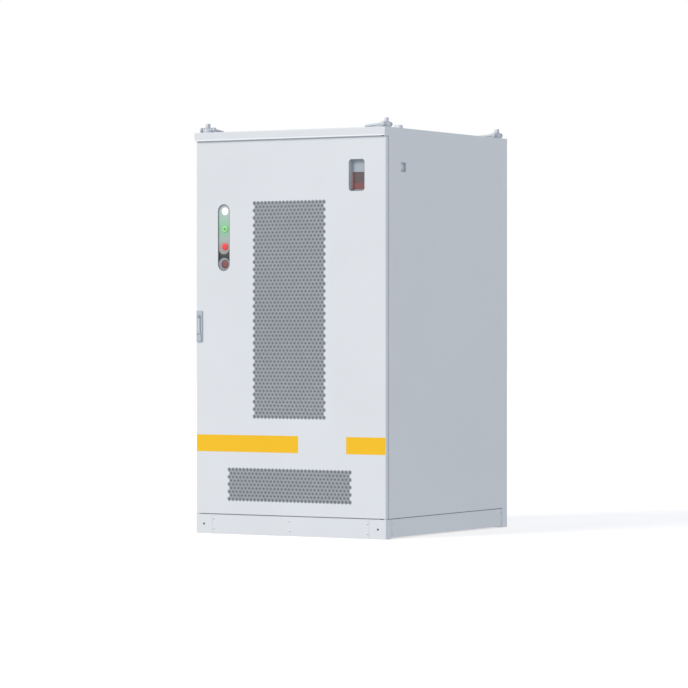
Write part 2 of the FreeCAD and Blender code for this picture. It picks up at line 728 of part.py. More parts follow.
def build_breather():
    """A moulded pocket in the right panel with a half-round breather boss."""
    middle_y = "(-cabinet_depth / 2 + breather_back)"
    depth = "breather_deep"
    middle = ("%s - breather_deep / 2" % OUTER, middle_y, "breather_high")
    outer = block("breather_outer", middle, (depth, "breather_size", "breather_size"))
    hollow = block("breather_hollow", ("%s - breather_deep / 2 + sheet" % OUTER, middle_y,
                                       "breather_high"),
                   (depth, "breather_size - 2 * sheet", "breather_size - 2 * sheet"))
    cup = cut("breather_cup", outer, [hollow])
    boss = prism("breather_boss_solid",
                 ("%s - breather_deep" % OUTER, middle_y + " - breather_size / 2 + breather_boss",
                  "breather_high"), "2 * breather_boss", "breather_deep - sheet / 2", "+x", 16)
    subpart(join("breather_join", [cup, boss]), "side_breather")


def build_rear_panel():
    """The rear panel: a folded pan with slots under sloped louvres."""
    half = "(%s - panel_depth)" % OUTER
    body = new_body("rear_panel_body")
    face = sketch_on(body, "rear_face", "XZ_Plane", "-cabinet_depth / 2")
    rectangle(face, "-" + half, PANEL_BASE, half, PANEL_TOP)
    pad(body, face, "sheet")
    fold = sketch_on(body, "rear_fold", "XZ_Plane", "-cabinet_depth / 2 + sheet")
    rectangle(fold, "-" + half, PANEL_BASE, half, PANEL_TOP)
    rectangle(fold, "-%s + sheet" % half, PANEL_BASE + " + sheet",
              half + " - sheet", PANEL_TOP + " - sheet")
    pad(body, fold, "panel_depth - sheet")

    slots = sketch_on(body, "rear_slots", "XZ_Plane", "-cabinet_depth / 2 + 2 * sheet")
    hoods = []
    for index in range(int(number("louvre_count"))):
        middle_z = "(louvre_middle + (%d - (louvre_count - 1) / 2) * louvre_pitch)" % index
        rectangle(slots, "-louvre_wide / 2", middle_z + " - louvre_slot / 2",
                  "louvre_wide / 2", middle_z + " + louvre_slot / 2")
        hoods.append(louvre_hood("louvre_%d" % index, middle_z))
    pocket(body, slots, "4 * sheet")
    subpart(join("rear_panel_join", [body] + hoods), "rear_panel")


def louvre_hood(name, middle_z):
    """A blade that slopes out and down from the top of its slot."""
    blade = block(name + "_blade", ("0", "0", "-louvre_blade / 2"),
                  ("louvre_wide", "sheet", "louvre_blade"))
    hood = group(name + "_hood", [blade])
    tilt = Rotation(Vector(1, 0, 0), number("louvre_angle"))
    return place(hood, "0", "cabinet_depth / 2 - sheet / 2",
                 middle_z + " + louvre_slot / 2 + sheet", tilt)


def build_roof():
    """The roof plate with its front fascia and the lip that carries the upper pivot."""
    body = new_body("roof_body")
    front_y = "(-cabinet_depth / 2 - fascia_reach)"
    rear_y = "(cabinet_depth / 2 + side_proud)"
    shell = sketch_on(body, "roof_section", "YZ_Plane", "-%s" % OUTER)
    outline(shell, [
        (front_y, FASCIA_BASE), (front_y + " + sheet", FASCIA_BASE),
        (front_y + " + sheet", PANEL_TOP), (rear_y, PANEL_TOP),
        (rear_y, "cabinet_height"), (front_y, "cabinet_height")])
    pad(body, shell, "door_width + 2 * side_proud")
    lip = sketch_on(body, "roof_lip", "XY_Plane", FASCIA_BASE)
    half = "(%s - sheet)" % OUTER
    rectangle(lip, "-" + half, front_y, half, PANEL_FRONT_Y)
    pad(body, lip, "sheet")
    pivot = sketch_on(body, "roof_pivot", "XY_Plane", FASCIA_BASE + " + 2 * sheet")
    circle(pivot, PIVOT_X, PIVOT_Y, "pivot_pin + 2 * running")
    pocket(body, pivot, "3 * sheet")
    front = -number("cabinet_depth") / 2 - number("fascia_reach")
    top = number("cabinet_height")

    def along_front(edge):
        middle = edge.CenterOfMass
        return runs_along(edge, 0) and near(middle.y, front) and near(middle.z, top)

    round_edges(body, "roof_bend", along_front)
    holes = []
    for side, sx in SIDES:
        for end, ring_y in (("front", RING_FRONT_Y), ("rear", RING_REAR_Y)):
            holes.append(prism("roof_hole_%s_%s" % (side, end), (sx + RING_X, ring_y, PANEL_TOP + " - 1"),
                               "hoist_thread + 2 * running", "roof_plate + 2", "+z", 8))
    subpart(cut("roof_drilled", body, holes), "roof_cap")


def build_roof_pod():
    """A small antenna housing on the roof."""
    body = new_body("roof_pod_body")
    right_x = "(door_width / 2 - pod_from_side)"
    front_y = "(-cabinet_depth / 2 + pod_from_front)"
    foot = sketch_on(body, "pod_foot", "XY_Plane", "cabinet_height")
    rectangle(foot, right_x + " - pod_wide", front_y, right_x, front_y + " + pod_deep")
    pad(body, foot, "pod_high")
    top = number("cabinet_height") + number("pod_high")

    def upper_or_upright(edge):
        return runs_along(edge, 2) or near(edge.CenterOfMass.z, top)

    round_edges(body, "pod_bevel", upper_or_upright, "PartDesign::Chamfer", "Size")
    subpart(body, "roof_pod")


def build_hoist_rings():
    """Four swivelling hoist rings: bolt, swivel body and a bail that lies on the roof."""
    bolts = []
    for name, sx, ring_y, turn in (
            ("front_left", "-", RING_FRONT_Y, 90),
            ("front_right", "", RING_FRONT_Y, 180),
            ("rear_left", "-", RING_REAR_Y, 0),
            ("rear_right", "", RING_REAR_Y, 180)):
        bolts.append(hoist_bolt(name, sx + RING_X, ring_y))
        swivel(name, sx + RING_X, ring_y, turn)
        bail(name, sx + RING_X, ring_y, turn)
    subpart(group("hoist_bolts_group", bolts), "hoist_bolts")


def hoist_bolt(name, x, y):
    """Threaded shank, smooth shoulder for the swivel, washer face and hexagon head."""
    shank = prism(name + "_shank", (x, y, PANEL_TOP + " - post_cap"),
                  "hoist_thread", "post_cap + roof_plate", "+z", 8)
    shoulder_high = "(swivel_high + 2 * seat)"
    shoulder = cylinder(name + "_shoulder", (x, y, "cabinet_height"),
                        "shoulder", shoulder_high, "+z")
    washer = prism(name + "_washer", (x, y, "cabinet_height + " + shoulder_high),
                   "hoist_collar", "sheet", "+z")
    head = prism(name + "_head", (x, y, "cabinet_height + %s + sheet" % shoulder_high),
                 "hoist_head", "hoist_head_high - sheet", "+z", 6)
    return join(name + "_bolt", [shank, shoulder, washer, head])


def swivel(name, x, y, turn):
    """An eight-sided body that turns on the round shoulder, drilled across for the bail's pins."""
    body_solid = prism(name + "_swivel_body", ("0", "0", "seat"),
                       "swivel_across / cos(22.5)", "swivel_high", "+z", 8)
    body_solid.Placement.Rotation = Rotation(Vector(0, 0, 1), 22.5)
    shoulder_bore = prism(name + "_swivel_bore", ("0", "0", "-1"),
                          "(shoulder + 2 * running) / cos(11.25)", "swivel_high + 4", "+z", 16)
    cross_bore = cylinder(name + "_cross_bore", ("0", "-swivel_across", "bail_pivot_high"),
                          "bail_bar + 2 * running", "2 * swivel_across", "+y")
    drilled = cut(name + "_swivel_cut", body_solid, [shoulder_bore, cross_bore])
    turned = group(name + "_swivel_turned", [drilled])
    place(turned, x, y, "cabinet_height", Rotation(Vector(0, 0, 1), turn))
    subpart(turned, "swivel_" + name)


def bail(name, x, y, turn):
    """A round bar bent to a bow: two pins, two legs and a half-round end on the roof."""
    bow = doc.addObject("Part::Feature", name + "_bail_bow")
    bow.Shape = bail_shape()
    place(bow, x, y, "cabinet_height", Rotation(Vector(0, 0, 1), turn))
    subpart(bow, "bail_" + name)


def bail_shape():
    """The bow in its own frame: swivel axis at the origin, far end towards +X and low."""
    half = number("bail_half_width")
    reach = number("bail_reach")
    bar = number("bail_bar")
    pivot = number("bail_pivot_high")
    tuck = number("bail_tuck")
    corner = number("bail_corner")
    slope = math.degrees(math.asin((pivot - bar / 2 - number("seat")) / reach))
    lean = Rotation(Vector(0, 1, 0), slope)
    lift = Vector(0, 0, pivot)
    bend_steps = 8
    points = [Vector(0, tuck, 0), Vector(0, half - corner, 0), Vector(corner, half, 0)]
    for step in range(bend_steps + 1):
        angle = math.pi / 2 - math.pi * step / bend_steps
        points.append(Vector(reach - half + half * math.cos(angle), half * math.sin(angle), 0))
    points += [Vector(corner, -half, 0), Vector(0, -half + corner, 0), Vector(0, -tuck, 0)]
    path = Part.makePolygon([lean.multVec(point) + lift for point in points])
    ring = []
    for step in range(9):
        angle = math.pi / 4 * step + math.pi / 8
        spot = Vector(bar / 2 * math.cos(angle), tuck, bar / 2 * math.sin(angle))
        ring.append(lean.multVec(spot) + lift)
    return path.makePipeShell([Part.makePolygon(ring)], True, False, 1)


def build_pivots():
    """Pivot pins in the plinth and the roof lip, and the bored blocks in the door."""
    pins = []
    blocks = []
    collar_high = "(door_gap - seat)"
    for name, seat_z, up, axis, block_z in (
            ("low", "plinth_height", "", "+z", "(%s + sheet + pivot_block / 2)" % DOOR_BASE),
            ("high", FASCIA_BASE, "-", "-z", "(%s - sheet - pivot_block / 2)" % DOOR_TOP)):
        start = (PIVOT_X, PIVOT_Y, "%s - (%s(2 * corner_wall))" % (seat_z, up))
        pin = cylinder("pin_" + name, start, "pivot_pin",
                       "2 * corner_wall + door_gap + pivot_reach", axis)
        collar = prism("collar_" + name, (PIVOT_X, PIVOT_Y, seat_z), "pivot_collar",
                       collar_high, axis)
        pins.append(join("pivot_" + name, [pin, collar]))
        body = block("pivot_block_" + name,
                     (PIVOT_X + " - pivot_inset / 2", PIVOT_Y, block_z),
                     ("3 * pivot_inset - 2 * sheet", "door_depth - 2 * sheet", "pivot_block"))
        bore = cylinder("pivot_bore_" + name, (PIVOT_X, PIVOT_Y, seat_z),
                        "pivot_pin + 2 * running", "3 * pivot_block", axis)
        blocks.append(cut("pivot_bored_" + name, body, [bore]))
    subpart(group("pivot_pins_group", pins), "pivot_pins")
    subpart(group("pivot_blocks_group", blocks), "pivot_blocks")


def build_door_skin():
    """The door: a folded pan with four openings, and the flange behind its edge."""
    body = new_body("door_skin_body")
    half = "door_width / 2"
    skin = sketch_on(body, "door_face", "XZ_Plane", FRONT)
    rectangle(skin, "-" + half, DOOR_BASE, half, DOOR_TOP)
    pad(body, skin, "sheet", away=True)
    walls = sketch_on(body, "door_walls", "XZ_Plane", FRONT + " - sheet")
    rectangle(walls, "-" + half, DOOR_BASE, half, DOOR_TOP)
    rectangle(walls, "-%s + sheet" % half, DOOR_BASE + " + sheet",
              half + " - sheet", DOOR_TOP + " - sheet")
    pad(body, walls, "door_depth - sheet", away=True)
    face = -number("cabinet_depth") / 2

    def front_edge(edge):
        return near(edge.CenterOfMass.y, face) and edge.Length > number("door_width") / 2

    round_edges(body, "door_bend", front_edge)
    door_openings(body)
    subpart(body, "door_skin")

    back = new_body("door_flange_body")
    flange = sketch_on(back, "door_flange_face", "XZ_Plane", FRONT + " - door_depth + sheet")
    rectangle(flange, "-%s + sheet" % half, DOOR_BASE + " + sheet",
              half + " - sheet", DOOR_TOP + " - sheet")
    rectangle(flange, "-%s + door_flange" % half, DOOR_BASE + " + door_flange",
              half + " - door_flange", DOOR_TOP + " - door_flange")
    pad(back, flange, "sheet", away=True)
    spindle = cylinder("flange_spindle_hole", (HANDLE_X, "-cabinet_depth / 2", HUB_Z),
                       "spindle + 2 * running", "2 * door_depth", "+y")
    subpart(cut("door_flange_cut", back, [spindle]), "door_flange")


def door_openings(body):
    """Screen openings, status slot, alarm window, and the holes of spindle and pivots."""
    through = FRONT + " + 1"
    screens = sketch_on(body, "screen_openings", "XZ_Plane", through)
    for wide, high, middle in (
            ("tall_field_wide", "tall_field_high", "tall_field_middle"),
            ("low_field_wide", "low_field_high", "low_field_middle")):
        rectangle(screens, "-(%s / 2 + screen_margin)" % wide,
                  "%s - %s / 2 - screen_margin" % (middle, high),
                  "%s / 2 + screen_margin" % wide,
                  "%s + %s / 2 + screen_margin" % (middle, high))
    pocket(body, screens, "sheet + 2")
    slot = sketch_on(body, "slot_opening", "XZ_Plane", through)
    rectangle(slot, "-slot_from_middle - slot_wide / 2", "slot_middle - slot_high / 2",
              "-slot_from_middle + slot_wide / 2", "slot_middle + slot_high / 2")
    pocket(body, slot, "sheet + 2")
    window = sketch_on(body, "window_opening", "XZ_Plane", through)
    rectangle(window, "window_from_middle - window_wide / 2", "window_middle - window_high / 2",
              "window_from_middle + window_wide / 2", "window_middle + window_high / 2")
    pocket(body, window, "sheet + 2")
    round_opening(body, -number("slot_from_middle"), number("slot_middle"),
                  number("slot_high"), "slot_wide / 2 - 0.01")
    round_opening(body, number("window_from_middle"), number("window_middle"),
                  number("window_high"), "window_round")
    spindle = sketch_on(body, "spindle_hole", "XZ_Plane", through)
    circle(spindle, HANDLE_X, HUB_Z, "spindle + 2 * running")
    pocket(body, spindle, "2 * sheet")
    pivot = sketch_on(body, "pivot_hole", "XY_Plane", "cabinet_height")
    circle(pivot, PIVOT_X, PIVOT_Y, "pivot_pin + 2 * running")
    pocket(body, pivot, "cabinet_height")


def round_opening(body, middle_x, middle_z, high, radius):
    """Rounds the four corners of a rectangular opening in the skin."""

    def corner(edge):
        middle = edge.CenterOfMass
        return (runs_along(edge, 1) and near(abs(middle.z - middle_z), high / 2)
                and abs(middle.x - middle_x) < high / 2)

    round_edges(body, radius, corner)


def build_screens():
    """Perforated screens that fill the door's two air openings, flush with its face."""
    screens = [perforated("screen_tall", number("tall_field_wide"), number("tall_field_high"),
                          "tall_field_middle"),
               perforated("screen_low", number("low_field_wide"), number("low_field_high"),
                          "low_field_middle")]
    subpart(group("screens_group", screens), "door_screens")


def perforated(label, wide, high, middle_alias):
    """A plate with staggered rows of upright hexagons, centred in its field."""
    pitch = number("cell_pitch")
    flats = number("cell_flats")
    margin = number("screen_margin")
    corner = flats / math.sqrt(3)
    row_step = pitch * math.sqrt(3) / 2
    columns = int((wide - flats) / pitch) + 1
    rows = int((high - 2 * corner) / row_step) + 1
    half_x = wide / 2 + margin
    half_z = high / 2 + margin
    border = Part.makePolygon([Vector(-half_x, 0, -half_z), Vector(half_x, 0, -half_z),
                               Vector(half_x, 0, half_z), Vector(-half_x, 0, half_z),
                               Vector(-half_x, 0, -half_z)])
    cells = []
    for row in range(rows):
        in_row = columns - row % 2
        for column in range(in_row):
            middle = Vector((column - (in_row - 1) / 2) * pitch, 0,
                            (row - (rows - 1) / 2) * row_step)
            cells.append(hexagon(middle, corner))
    face = Part.makeFace([border] + cells, "Part::FaceMakerBullseye")
    plate = face.extrude(Vector(0, number("sheet"), 0))
    screen = doc.addObject("Part::Feature", label + "_plate")
    screen.Shape = plate
    return place(screen, "0", "-cabinet_depth / 2", middle_alias)


def hexagon(middle, corner):
    """A hexagonal wire in the XZ plane with a corner at its top."""
    points = []
    for step in range(7):
        angle = math.pi / 3 * step + math.pi / 2
        points.append(middle + Vector(corner * math.cos(angle), 0, corner * math.sin(angle)))
    return Part.makePolygon(points)


def build_door_inside():
    """Stiffeners, filter mats and seal of the door."""
    depth = "(door_depth - sheet)"
    stiff_y = "(-cabinet_depth / 2 + sheet + %s / 2)" % depth
    inner_half = "(door_width / 2 - door_flange)"
    upright_z = "((stiffener_low + stiffener_top) / 2)"
    upright_high = "(stiffener_top - stiffener_low - stiffener)"
    pieces = []
    upright_x = "(tall_field_wide / 2 + stiffener_from_field + stiffener / 2)"
    for side, sx in SIDES:
        pieces.append(channel("stiffener_" + side, (sx + upright_x, stiff_y, upright_z),
                              ("stiffener", depth, upright_high), 2))
    for level in ("low", "top"):
        pieces.append(channel("stiffener_" + level, ("0", stiff_y, "stiffener_" + level),
                              ("2 * " + inner_half, depth, "stiffener"), 0))
    subpart(group("stiffeners_group", pieces), "door_stiffeners")

    mats = []
    mat_y = "(-cabinet_depth / 2 + sheet + filter_thick / 2)"
    for name, wide, high, middle in (
            ("tall", "tall_field_wide", "tall_field_high", "tall_field_middle"),
            ("low", "low_field_wide", "low_field_high", "low_field_middle")):
        mats.append(block("filter_" + name, ("0", mat_y, middle),
                          (wide + " + screen_margin", "filter_thick", high + " + screen_margin")))
    subpart(group("filters_group", mats), "filter_mats")

    seal_deep = "(post_set_back - door_depth - seat)"
    seal_y = "(%s + %s / 2)" % (DOOR_BACK_Y, seal_deep)
    side_x = "(door_width / 2 - seal_inset - seal_wide / 2)"
    low_z = "(plinth_height + door_gap + seal_inset - seal_wide / 2)"
    high_z = "(%s - seal_wide)" % DOOR_TOP
    long_z = "(%s - %s - seal_wide)" % (high_z, low_z)
    legs = []
    for side, sx in SIDES:
        legs.append(block("seal_" + side, (sx + side_x, seal_y, "(%s + %s) / 2" % (low_z, high_z)),
                          ("seal_wide", seal_deep, long_z)))
    for level, seal_z in (("low", low_z), ("high", high_z)):
        legs.append(block("seal_" + level, ("0", seal_y, seal_z),
                          ("2 * %s + seal_wide" % side_x, seal_deep, "seal_wide")))
    subpart(group("seal_group", legs), "door_seal")


def channel(name, middle, span, axis):
    """A U-shaped stiffener that stands on the skin with its open side forward."""
    inner = ["(%s) - 2 * sheet" % width for width in span]
    inner[axis] = "(%s) + 2" % span[axis]
    inner[1] = span[1]
    hollow_middle = (middle[0], middle[1] + " - sheet", middle[2])
    return cut(name, block(name + "_solid", middle, span),
               [block(name + "_hollow", hollow_middle, inner)])


def build_status_panel():
    """The tray behind the status slot with its lamps and the stop button's round plate."""
    floor_y = "(-cabinet_depth / 2 + sheet + tray_deep)"
    body = new_body("status_tray_body")
    x = "(-slot_from_middle)"
    lamp_x = "(-slot_from_middle + lamp_aside)"
    lip = "(slot_wide / 2 + tray_wall)"
    tall = "(slot_high / 2 + tray_wall)"
    plate = sketch_on(body, "tray_outer", "XZ_Plane", FRONT + " - sheet")
    rectangle(plate, "%s - %s" % (x, lip), "slot_middle - %s" % tall,
              "%s + %s" % (x, lip), "slot_middle + %s" % tall)
    pad(body, plate, "tray_deep", away=True)
    hollow = sketch_on(body, "tray_hollow", "XZ_Plane", FRONT + " - sheet")
    rectangle(hollow, "%s - slot_wide / 2" % x, "slot_middle - slot_high / 2",
              "%s + slot_wide / 2" % x, "slot_middle + slot_high / 2")
    pocket(body, hollow, "tray_deep - tray_wall")
    holes = []
    lamps = []
    for index in range(3):
        lamp_z = "(slot_middle - stop_below + %d * lamp_pitch)" % (3 - index)
        holes.append(prism("tray_hole_%d" % index, (lamp_x, "-cabinet_depth / 2", lamp_z),
                           "lamp_barrel + 2 * running", "2 * door_depth", "+y"))
        lamps.append(status_lamp("lamp_%d" % index, lamp_x, lamp_z, floor_y))
    stop_z = "(slot_middle - stop_below)"
    holes.append(prism("tray_stop_hole", (lamp_x, "-cabinet_depth / 2", stop_z),
                       "stop_cup + 4 * running", "2 * door_depth", "+y", 24))
    subpart(cut("status_tray_cut", body, holes), "status_tray")
    subpart(group("lamps_group", lamps), "status_lamps")

    plate_y = floor_y + " - tray_wall"
    disc = prism("stop_disc", (x, plate_y, stop_z), "stop_plate", "stop_plate_thick", "-y", 24)
    cup = prism("stop_cup_solid", (lamp_x, plate_y, stop_z), "stop_cup", "stop_cup_deep", "+y", 24)
    room = prism("stop_cup_room", (lamp_x, plate_y + " - door_depth", stop_z), "stop_cup_inside",
                 "door_depth + stop_cup_deep - tray_wall", "+y", 24)
    bore = prism("stop_bore", (lamp_x, "-cabinet_depth / 2", stop_z),
                 "stop_stem + 4 * running", "2 * door_depth", "+y")
    subpart(cut("stop_collar_cut", join("stop_collar_join", [disc, cup]), [room, bore]),
            "stop_collar")
    face_y = "(-cabinet_depth / 2 + stop_recess)"
    head = prism("stop_head_solid", (lamp_x, face_y, stop_z), "stop_head", "stop_head_high", "+y", 24)
    stem = prism("stop_stem_solid", (lamp_x, face_y + " + stop_head_high", stop_z), "stop_stem",
                 "sheet + tray_deep + stop_cup_deep - stop_recess - stop_head_high", "+y")
    subpart(join("stop_button_join", [head, stem]), "stop_button")


def status_lamp(name, x, lamp_z, floor_y):
    """A pilot lamp: lens in front of the tray, barrel through it."""
    front_y = "(-cabinet_depth / 2 + lamp_recess)"
    lens_long = "sheet + tray_deep - tray_wall - lamp_recess"
    lens = prism(name + "_lens", (x, front_y, lamp_z), "lamp_across", lens_long, "+y", 16)
    barrel = prism(name + "_barrel", (x, floor_y + " - tray_wall", lamp_z), "lamp_barrel",
                   "tray_wall + lamp_barrel_long", "+y")
    return join(name, [lens, barrel])


def build_alarm():
    """The alarm behind its window: a collar, a grey body and a red lens under it."""
    x = "window_from_middle"
    collar_long = "(alarm_recess - sheet)"
    collar_y = "(-cabinet_depth / 2 + sheet + %s / 2)" % collar_long
    collar = block("alarm_collar_solid", (x, collar_y, "window_middle"),
                   ("window_wide + 2 * tray_wall", collar_long, "window_high + 2 * tray_wall"))
    inside = block("alarm_collar_inside", (x, collar_y, "window_middle"),
                   ("window_wide", "alarm_recess + 2", "window_high"))
    subpart(cut("alarm_collar_cut", collar, [inside]), "alarm_collar")

    face_y = "(-cabinet_depth / 2 + alarm_recess)"
    half_high = "(window_high / 2 + alarm_lap)"
    wide = "(window_wide + 2 * alarm_lap)"
    body = block("alarm_solid", (x, face_y + " + alarm_body_deep / 2", "window_middle"),
                 (wide, "alarm_body_deep", "2 * " + half_high))
    lens_wide = "(window_wide - 2 * lens_side)"
    lens_low = "(window_middle - window_high / 2 + lens_low)"
    lens_high = "(alarm_split + window_high / 2 - lens_low)"
    lens_span = (lens_wide, "lens_deep", lens_high)
    lens_middle = (x, face_y + " + lens_deep / 2", "%s + %s / 2" % (lens_low, lens_high))
    pocket_span = ("%s + 2 * seat" % lens_wide, "2 * lens_deep", "%s + 2 * seat" % lens_high)
    pocket_middle = (x, face_y, "%s + %s / 2" % (lens_low, lens_high))
    room = block("alarm_room", pocket_middle, pocket_span)
    subpart(cut("alarm_case_cut", body, [room]), "alarm_case")
    subpart(block("alarm_lens_solid", lens_middle, lens_span), "alarm_lens")


def build_handle():
    """Swing handle: base plate, turning hub with spindle and cam, lifting lever, lock plug."""
    face_y = "(-cabinet_depth / 2)"
    base_y = "(-cabinet_depth / 2 - handle_base_thick)"
    body = new_body("handle_base_body")
    plate = sketch_on(body, "base_outline", "XZ_Plane", FRONT)
    rectangle(plate, HANDLE_X + " - handle_wide / 2", "handle_middle - handle_high / 2",
              HANDLE_X + " + handle_wide / 2", "handle_middle + handle_high / 2")
    pad(body, plate, "handle_base_thick")
    round_edges(body, "handle_round", lambda edge: runs_along(edge, 1),
                "PartDesign::Chamfer", "Size")
    hole = sketch_on(body, "base_hole", "XZ_Plane", FRONT + " + handle_base_thick + 1")
    circle(hole, HANDLE_X, HUB_Z, "spindle + 2 * running")
    pocket(body, hole, "handle_base_thick + 2")
    subpart(body, "handle_base")

    hub_y = "(%s - seat - hub_thick / 2)" % base_y
    pin_z = "(%s + hub_high / 2 + pin_above_hub)" % HUB_Z
    pin_y = "(%s - seat - lever_thick / 2)" % base_y
    hub = block("hub_block", (HANDLE_X, hub_y, HUB_Z), ("hub_wide", "hub_thick", "hub_high"))
    ears = []
    for side, sx in SIDES:
        ear_x = "(%s %s (hub_wide - ear_wide) / 2)" % (HANDLE_X, "-" if sx else "+")
        ears.append(block("ear_" + side,
                          (ear_x, pin_y, "(%s + %s) / 2 + lever_thick / 4" % (HUB_Z, pin_z)),
                          ("ear_wide", "lever_thick", "%s - %s + lever_thick / 2" % (pin_z, HUB_Z))))
    pin = cylinder("lever_pin_solid", (HANDLE_X + " - hub_wide / 2 + ear_wide / 2", pin_y, pin_z),
                   "lever_pin", "hub_wide - ear_wide", "+x")
    spindle_end = "(%s + cam_thick + 2 * seat)" % DOOR_BACK_Y
    spindle = cylinder("spindle_solid", (HANDLE_X, base_y + " - seat", HUB_Z), "spindle",
                       "handle_base_thick + seat + door_depth + cam_thick + 2 * seat", "+y")
    cam = prism("cam_solid", (HANDLE_X, spindle_end + " - cam_thick - seat", HUB_Z),
                "cam_across", "cam_thick", "+y", 16)
    subpart(join("handle_hub_join", [hub] + ears + [pin, spindle, cam]), "handle_hub")
    build_lever(pin_y, pin_z)


def build_lever(pin_y, pin_z):
    """The arched lever on its pin, with the lock plug near its free end."""
    tongue = "(hub_wide - 2 * ear_wide - 2 * seat)"
    straight = "(lever_long - lever_wide / 2)"
    grip_low = "(%s + lever_thick)" % pin_z
    grip = block("lever_grip", (HANDLE_X, pin_y, "(%s + %s + %s) / 2" % (grip_low, pin_z, straight)),
                 ("lever_wide", "lever_thick", "%s + %s - %s" % (pin_z, straight, grip_low)))
    tail = block("lever_tail", (HANDLE_X, pin_y, "(%s + %s) / 2" % (grip_low, pin_z)),
                 (tongue, "lever_thick", "%s - %s" % (grip_low, pin_z)))
    eye = cylinder("lever_eye", (HANDLE_X + " - %s / 2" % tongue, pin_y, pin_z), "lever_thick",
                   tongue, "+x")
    arch = cylinder("lever_arch", (HANDLE_X, pin_y + " - lever_thick / 2",
                                   "%s + %s" % (pin_z, straight)),
                    "lever_wide", "lever_thick", "+y")
    lock_z = "(%s + lever_long - lock_from_end)" % pin_z
    lock_hole = cylinder("lock_hole", (HANDLE_X, pin_y + " - lever_thick", lock_z),
                         "lock_across + 2 * running", "2 * lever_thick", "+y")
    pin_hole = cylinder("pin_hole", (HANDLE_X + " - lever_wide", pin_y, pin_z),
                        "lever_pin + 2 * running", "2 * lever_wide", "+x")
    shape = join("lever_join", [grip, tail, eye, arch])
    subpart(cut("lever_cut", shape, [lock_hole, pin_hole]), "handle_lever")
    plug = cylinder("lock_plug_solid", (HANDLE_X, pin_y + " - lever_thick / 2", lock_z),
                    "lock_across", "lever_thick", "+y")
    subpart(plug, "lock_plug")


def build_rod_lock():
    """Two lock rods behind the door's edge, their guides, and forked keepers on the frame."""
    rod_y = "(-cabinet_depth / 2 + rod_set_back)"
    frame_y = "(-cabinet_depth / 2 + post_set_back)"
    high_keeper_z = "(%s - seal_inset + keeper_in)" % DOOR_TOP
    low_keeper_z = "(%s + seal_inset - keeper_in)" % DOOR_BASE
    end_clear = "(cam_across / 2 + 1)"
    high_end = "(%s + keeper_high / 2 + seat)" % high_keeper_z
    low_end = "(%s - keeper_high / 2 - seat)" % low_keeper_z
    high_start = "(%s + %s)" % (HUB_Z, end_clear)
    upper = cylinder("rod_upper_solid", (HANDLE_X, rod_y, high_start), "rod_across",
                     "%s - %s" % (high_end, high_start), "+z")
    lower = cylinder("rod_lower_solid", (HANDLE_X, rod_y, low_end), "rod_across",
                     "%s - %s - %s" % (HUB_Z, end_clear, low_end), "+z")
    subpart(upper, "rod_upper")
    subpart(lower, "rod_lower")

    guides = []
    guide_deep = "(post_set_back - door_depth - 2 * seat)"
    guide_y = "(%s + %s / 2)" % (DOOR_BACK_Y, guide_deep)
    for index, share in enumerate(("0.12", "0.36", "0.62", "0.86")):
        guide_z = "(%s + %s * (%s - %s))" % (DOOR_BASE, share, DOOR_TOP, DOOR_BASE)
        solid = block("guide_%d" % index, (HANDLE_X, guide_y, guide_z),
                      ("guide_wide", guide_deep, "guide_high"))
        window = block("guide_window_%d" % index, (HANDLE_X, rod_y, guide_z),
                       ("rod_across + 2 * running", "rod_across + 2 * running", "2 * guide_high"))
        guides.append(cut("guide_cut_%d" % index, solid, [window]))
    subpart(group("guides_group", guides), "rod_guides")

    keepers = []
    keeper_deep = "(post_set_back - door_depth - 2 * seat)"
    keeper_y = "(%s - %s / 2)" % (frame_y, keeper_deep)
    for level, keeper_z in (("high", high_keeper_z), ("low", low_keeper_z)):
        solid = block("keeper_" + level, (HANDLE_X, keeper_y, keeper_z),
                      ("keeper_wide", keeper_deep, "keeper_high"))
        mouth = block("keeper_mouth_" + level,
                      (HANDLE_X, rod_y + " - rod_across", keeper_z),
                      ("rod_across + 2", "2 * rod_across", "2 * keeper_high"))
        heel = prism("keeper_heel_" + level, (HANDLE_X, rod_y, keeper_z + " - keeper_high"),
                     "rod_across + 2", "2 * keeper_high", "+z")
        keepers.append(cut("keeper_cut_" + level, solid, [mouth, heel]))
    subpart(group("keepers_group", keepers), "rod_keepers")


